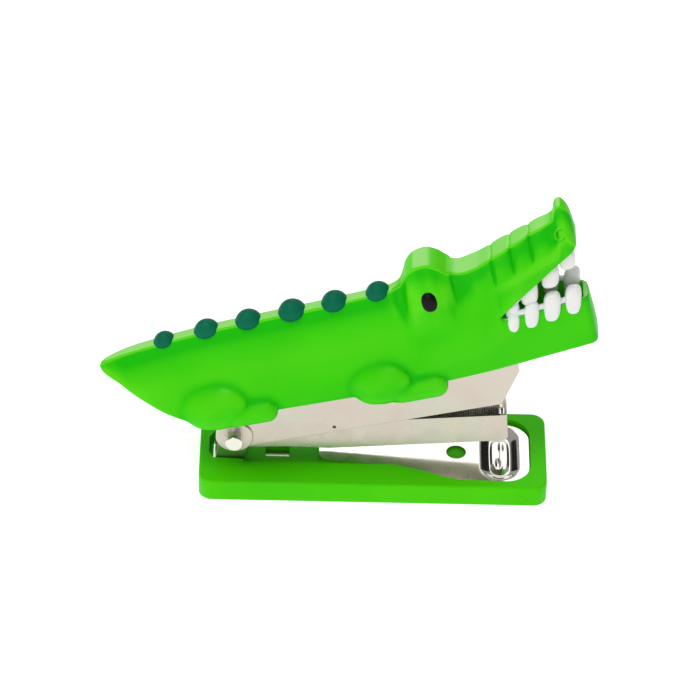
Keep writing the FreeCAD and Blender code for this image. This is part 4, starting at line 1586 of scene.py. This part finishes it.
@dataclass
class BrightAnvil:
    """The anvil plate: the frame's flat spade, with its dish drawn again as one smooth pressing.

    The dish is a racetrack. Its depth is the full depth times a smooth step of how far a point lies inside
    the mouth, with a raised pad and two grooves in the middle.
    """

    middle: float = 27.5
    half_x: float = 4.55
    half_y: float = 9.0
    top: float = 4.1
    depth: float = 1.2
    wall: float = 3.1
    lip: float = 0.35
    proud: float = 0.012
    slack: float = 0.05
    thickness: float = 0.5
    rows: int = 56
    columns: int = 160

    def ring(self, inset: np.ndarray, around: np.ndarray) -> tuple[np.ndarray, np.ndarray]:
        """Points of the racetrack moved inwards.

        Args:
            inset: how far in, of shape (rows, 1).
            around: turns from 0 to 1, of shape (1, columns).

        Returns:
            Their x and y.
        """
        radius = np.maximum(self.half_x - inset, 0.0)
        straight = self.half_y - self.half_x
        angle = 2 * math.pi * around
        x = radius * np.cos(angle)
        y = radius * np.sin(angle) + straight * np.clip(np.sin(angle) * 6.0, -1, 1)
        return x, y

    def height(self, x: np.ndarray, y: np.ndarray, inset: np.ndarray) -> np.ndarray:
        """Height of the pressing at its own points, with the pad and its grooves.

        Args:
            x: place along, from the dish's middle.
            y: place across.
            inset: how far each point lies inside the mouth.

        Returns:
            Heights over the floor.
        """
        sunk = self.depth * eased(inset, -self.lip, self.wall)
        off = ((x / 2.0) ** 4 + (y / 5.4) ** 4) ** 0.25
        pad = 0.5 * (1 - eased(off, 0.75, 1.15))
        groove = sum(0.38 * swell(x, 0.35 * side, 0.55) * np.exp(-(((y - 2.6 * side) / 1.5) ** 4))
                     for side in (-1, 1))
        return self.top + self.proud - sunk + pad - groove * (pad > 0)

    def build(self) -> bpy.types.Object:
        """Builds the plate and its dish as one piece.

        Returns:
            The dressed object, which stands for the frame's plate.
        """
        inset = np.linspace(-self.lip, self.half_x, self.rows)[:, None]
        around = np.linspace(0, 1, self.columns, endpoint=False)[None, :]
        x, y = self.ring(inset, around)
        face = np.stack([x + self.middle, y, self.height(x, y, inset)], -1)
        share = eased(np.linspace(0, 1, self.rows), -0.01, 0.9)[::-1, None, None]
        under = face[::-1] - np.array([0, 0, self.thickness]) * share
        both = np.concatenate([face, under])[:, ::-1]
        dish = Surface().add_grid(both, closed_columns=True).to_object("anvil_dish_part", level_frame, WELD)
        plate = self.flat_part()
        merged = bmesh.new()
        for source in (plate, dish):
            merged.from_mesh(source.data)
        merged.to_mesh(dish.data)
        merged.free()
        bpy.data.objects.remove(plate)
        dish.name = dish.data.name = "bright_anvil"
        return ready(dish, "base", Finish.CHROME, "chrome_plate", "anvil_plate")

    def in_dish(self, vertex: bmesh.types.BMVert) -> bool:
        """Whether a vertex of the frame's plate lies in the dish.

        Args:
            vertex: the vertex.

        Returns:
            True inside the racetrack or on its edge.
        """
        across = abs(vertex.co.x / MM - self.middle)
        over = max(abs(vertex.co.y / MM) - (self.half_y - self.half_x), 0.0)
        return math.hypot(across, over) < self.half_x + self.slack

    def flat_part(self) -> bpy.types.Object:
        """Copies the frame's plate without the faces of its dish.

        Returns:
            The linked copy.
        """
        mesh = frame["nodes"]["anvil_plate"].data.copy()
        shape = bmesh.new()
        shape.from_mesh(mesh)
        inside = [face for face in shape.faces if all(self.in_dish(vertex) for vertex in face.verts)]
        bmesh.ops.delete(shape, geom=inside, context="FACES")
        shape.to_mesh(mesh)
        shape.free()
        piece = bpy.data.objects.new("flat_plate_part", mesh)
        bpy.context.scene.collection.objects.link(piece)
        return piece


@dataclass
class Metalwork:
    """The nodes of the frame that are shown as they are, each with its finish."""

    finishes: tuple = (("base_moulding", Finish.BASE), ("hinge_bracket", Finish.SHEET),
                       ("bracket_screws", Finish.SCREW), ("pivot_washers", Finish.SHEET),
                       ("spacer_bushes", Finish.INNER),
                       ("magazine_channel", Finish.SHEET), ("staple_rail", Finish.INNER),
                       ("rail_rivets", Finish.PIN), ("follower_rod", Finish.PIN), ("pusher", Finish.INNER),
                       ("handle_channel", Finish.SHEET), ("driver_blade", Finish.BLADE),
                       ("driver_rivet", Finish.PIN), ("handle_spring", Finish.SPRING),
                       ("shell_screws", Finish.SCREW))
    softened: tuple = (("base_moulding", 0.22), ("magazine_channel", 0.12), ("handle_channel", 0.12),
                       ("hinge_bracket", 0.1), ("pusher", 0.1))

    def build(self) -> None:
        """Dresses every node and softens the larger ones."""
        for node, finish in self.finishes:
            WARDROBE.dress_node(node, finish)
            LOG.info("%s: kept from the frame as %s", node, finish.value.name)
        for node, width in self.softened:
            SoftEdges(width).apply_to(node)


@dataclass
class HingePin:
    """The hinge pin, turned about the Y axis, with rounded edges and a shallow centre mark in each end."""

    radius: float = 1.9
    reach: float = 9.1
    rounding: float = 0.3
    sides: int = 64

    def build(self) -> bpy.types.Object:
        """Builds the pin: each ring is (r cos a, y, r sin a), for (r, y) along half of its section.

        Returns:
            The dressed object, which stands for the frame's pin.
        """
        turn = np.radians(np.linspace(0, 90, 7))
        out = np.concatenate([[0.0, 0.3, 0.6, 1.0], self.radius - self.rounding * (1 - np.sin(turn))])
        along = self.reach - np.concatenate([[0.12, 0.09, 0.0, 0.0], self.rounding * (1 - np.cos(turn))])
        out = np.concatenate([out, out[::-1]])[:, None]
        along = np.concatenate([along, -along[::-1]])[:, None]
        around = np.linspace(0, 2 * math.pi, self.sides, endpoint=False)[None, :]
        grid = np.stack([out * np.cos(around), along + 0 * around, out * np.sin(around)], -1)
        piece = Surface().add_grid(grid, closed_columns=True).to_object("turned_pin", BASE, WELD)
        return ready(piece, "base", Finish.PIN, "nickel_steel", "pivot_pin")


@dataclass
class SideDimples:
    """A small punched dimple on each side of the handle's channel, drawn as a black dome that is painted
    shade for the dimple's hollow.
    """

    place: tuple[float, float] = (21.5, -2.1)
    radius: float = 0.42
    height: float = 0.09
    half_width: float = 6.2

    def build(self) -> bpy.types.Object:
        """Builds both dimples as shallow domes, black as painted shade.

        Returns:
            The dressed object.
        """
        dome = rounded_solid((self.radius, self.height, self.radius), 2.0, 20, 12)
        dome = dome + np.array([self.place[0], self.half_width, self.place[1]])
        surface = Surface().add_grid(dome, closed_columns=True).mirrored()
        piece = surface.to_object("side_dimple_shade_domes", HANDLE, WELD)
        # painted shade: the black finish stands for the shade in each dimple; the sheet itself is nickel
        # steel
        return ready(piece, "handle", Finish.SCREW, "nickel_steel")


# ---------------------------------------------------------------- studio

@dataclass(frozen=True)
class Card:
    """A dark card, seen in the steel's reflections: its middle and the halves of its sides, in metres."""

    name: str
    middle: tuple[float, float, float]
    across: tuple[float, float, float]
    up: tuple[float, float, float]


@dataclass(frozen=True)
class Light:
    """A square area light: its place and side in metres, and its power in watts."""

    name: str
    at: tuple[float, float, float]
    size: float
    power: float


@dataclass
class Studio:
    """A pale floor, a white surround, dark cards and large soft lights."""

    floor_half: float = 6.0
    surround: float = 0.42
    glow: float = 0.72
    aim: tuple[float, float, float] = (0.0, 0.0, 0.03)
    cards: tuple = (Card("left_card", (-0.50, 0.62, 0.24), (0.13, 0.10, 0), (0, 0, 0.20)),
                    Card("right_card", (0.54, 0.62, 0.24), (0.13, -0.10, 0), (0, 0, 0.20)),
                    Card("high_card", (0.0, -0.47, 0.66), (0.16, 0, 0), (0, 0.09, 0.07)))
    lights: tuple = (Light("key", (-0.30, -0.25, 0.95), 0.5, 3.9),
                     Light("front", (-0.25, -1.0, 0.42), 0.55, 1.1),
                     Light("back", (0.05, 0.9, 0.75), 0.8, 2.7))

    def build_floor(self) -> None:
        """Builds the floor as a wide grid with a pale, faintly uneven paint."""
        side = np.linspace(-self.floor_half, self.floor_half, 5) / MM
        grid = np.stack(np.meshgrid(side, side, indexing="ij") + [np.zeros((5, 5))], -1)
        floor = Surface().add_grid(grid).to_object("floor", level_frame)
        nodes = Nodes.named("pale_floor")
        paint = nodes.ramp(nodes.noise(3.0, 2.0), (0.3, (0.60, 0.60, 0.60)), (0.7, (0.62, 0.62, 0.62)))
        nodes.give(paint, Socket.COLOUR)
        nodes.set(ROUGHNESS=0.9, GLOW=self.glow, GLOW_COLOUR=(1.0, 1.0, 1.0, 1.0))
        floor.data.materials.append(nodes.material)

    def build_surround(self) -> None:
        """Makes the world an even white."""
        world = bpy.data.worlds.new("surround")
        world.use_nodes = True
        background = world.node_tree.nodes["Background"]
        background.inputs["Color"].default_value = (1.0, 1.0, 1.0, 1.0)
        background.inputs["Strength"].default_value = self.surround
        bpy.context.scene.world = world

    def build_light(self, light: Light) -> None:
        """Adds a light that faces the stapler.

        Args:
            light: its place, size and power.
        """
        data = bpy.data.lights.new(light.name, "AREA")
        data.size = light.size
        data.energy = light.power
        lamp = bpy.data.objects.new(light.name, data)
        lamp.location = light.at
        lamp.rotation_euler = (Vector(self.aim) - Vector(light.at)).to_track_quat("-Z", "Y").to_euler()
        bpy.context.scene.collection.objects.link(lamp)

    def build_card(self, card: Card) -> None:
        """Adds a dark card.

        Args:
            card: its place and sides.
        """
        side = np.linspace(-1, 1, 4)[:, None, None]
        other = np.linspace(-1, 1, 4)[None, :, None]
        grid = np.array(card.middle) + side * np.array(card.across) + other * np.array(card.up)
        sheet = Surface().add_grid(grid / MM).to_object(card.name, level_frame)
        nodes = Nodes.named(card.name + "_felt")
        felt = nodes.ramp(nodes.noise(20.0, 3.0), (0.3, (0.010, 0.009, 0.008)), (0.7, (0.02, 0.018, 0.016)))
        nodes.give(felt, Socket.COLOUR)
        nodes.set(ROUGHNESS=0.9, SPECULAR=0.1)
        sheet.data.materials.append(nodes.material)

    def build(self) -> None:
        """Builds the floor, the cards, the surround, the lights and the view's transform."""
        self.build_floor()
        for card in self.cards:
            self.build_card(card)
        self.build_surround()
        for light in self.lights:
            self.build_light(light)
        bpy.context.scene.view_settings.view_transform = "Standard"


@dataclass
class Viewpoint:
    """A long lens a little above the stapler, square on to its side."""

    elevation: float = 40.0
    azimuth: float = -0.5
    roll: float = 1.5
    distance: float = 900.0
    target: tuple[float, float, float] = (-5.55, 0.0, 32.4)
    lens: float = 217.6

    def build(self) -> bpy.types.Object:
        """Builds the camera and makes it the scene's.

        Returns:
            The camera.
        """
        up, aside, roll = (math.radians(angle) for angle in (self.elevation, self.azimuth, self.roll))
        back = Vector((math.sin(aside) * math.cos(up), -math.cos(aside) * math.cos(up), math.sin(up)))
        right = Vector((math.cos(aside), math.sin(aside), 0.0))
        above = back.cross(right)
        camera_x = right * math.cos(roll) + above * math.sin(roll)
        camera_y = above * math.cos(roll) - right * math.sin(roll)
        data = bpy.data.cameras.new("camera")
        data.lens = self.lens
        data.sensor_width = 36.0
        data.clip_start = 0.05
        camera = bpy.data.objects.new("camera", data)
        turn = Matrix((camera_x, camera_y, back)).transposed().to_4x4()
        place = (Vector(self.target) + back * self.distance) * MM
        camera.matrix_world = Matrix.Translation(place) @ turn
        bpy.context.scene.collection.objects.link(camera)
        bpy.context.scene.camera = camera
        return camera


def main() -> None:
    """Builds the figure, the springs, the metalwork and the studio, in that order."""
    logging.basicConfig(level=logging.INFO, format="%(name)s %(message)s")
    Crocodile().build()
    PusherCoil().build()
    LiftCoil().build()
    StapleStrip().build()
    Metalwork().build()
    BrightAnvil().build()
    HingePin().build()
    SideDimples().build()
    Studio().build()
    Viewpoint().build()


if __name__ == "__main__":
    main()
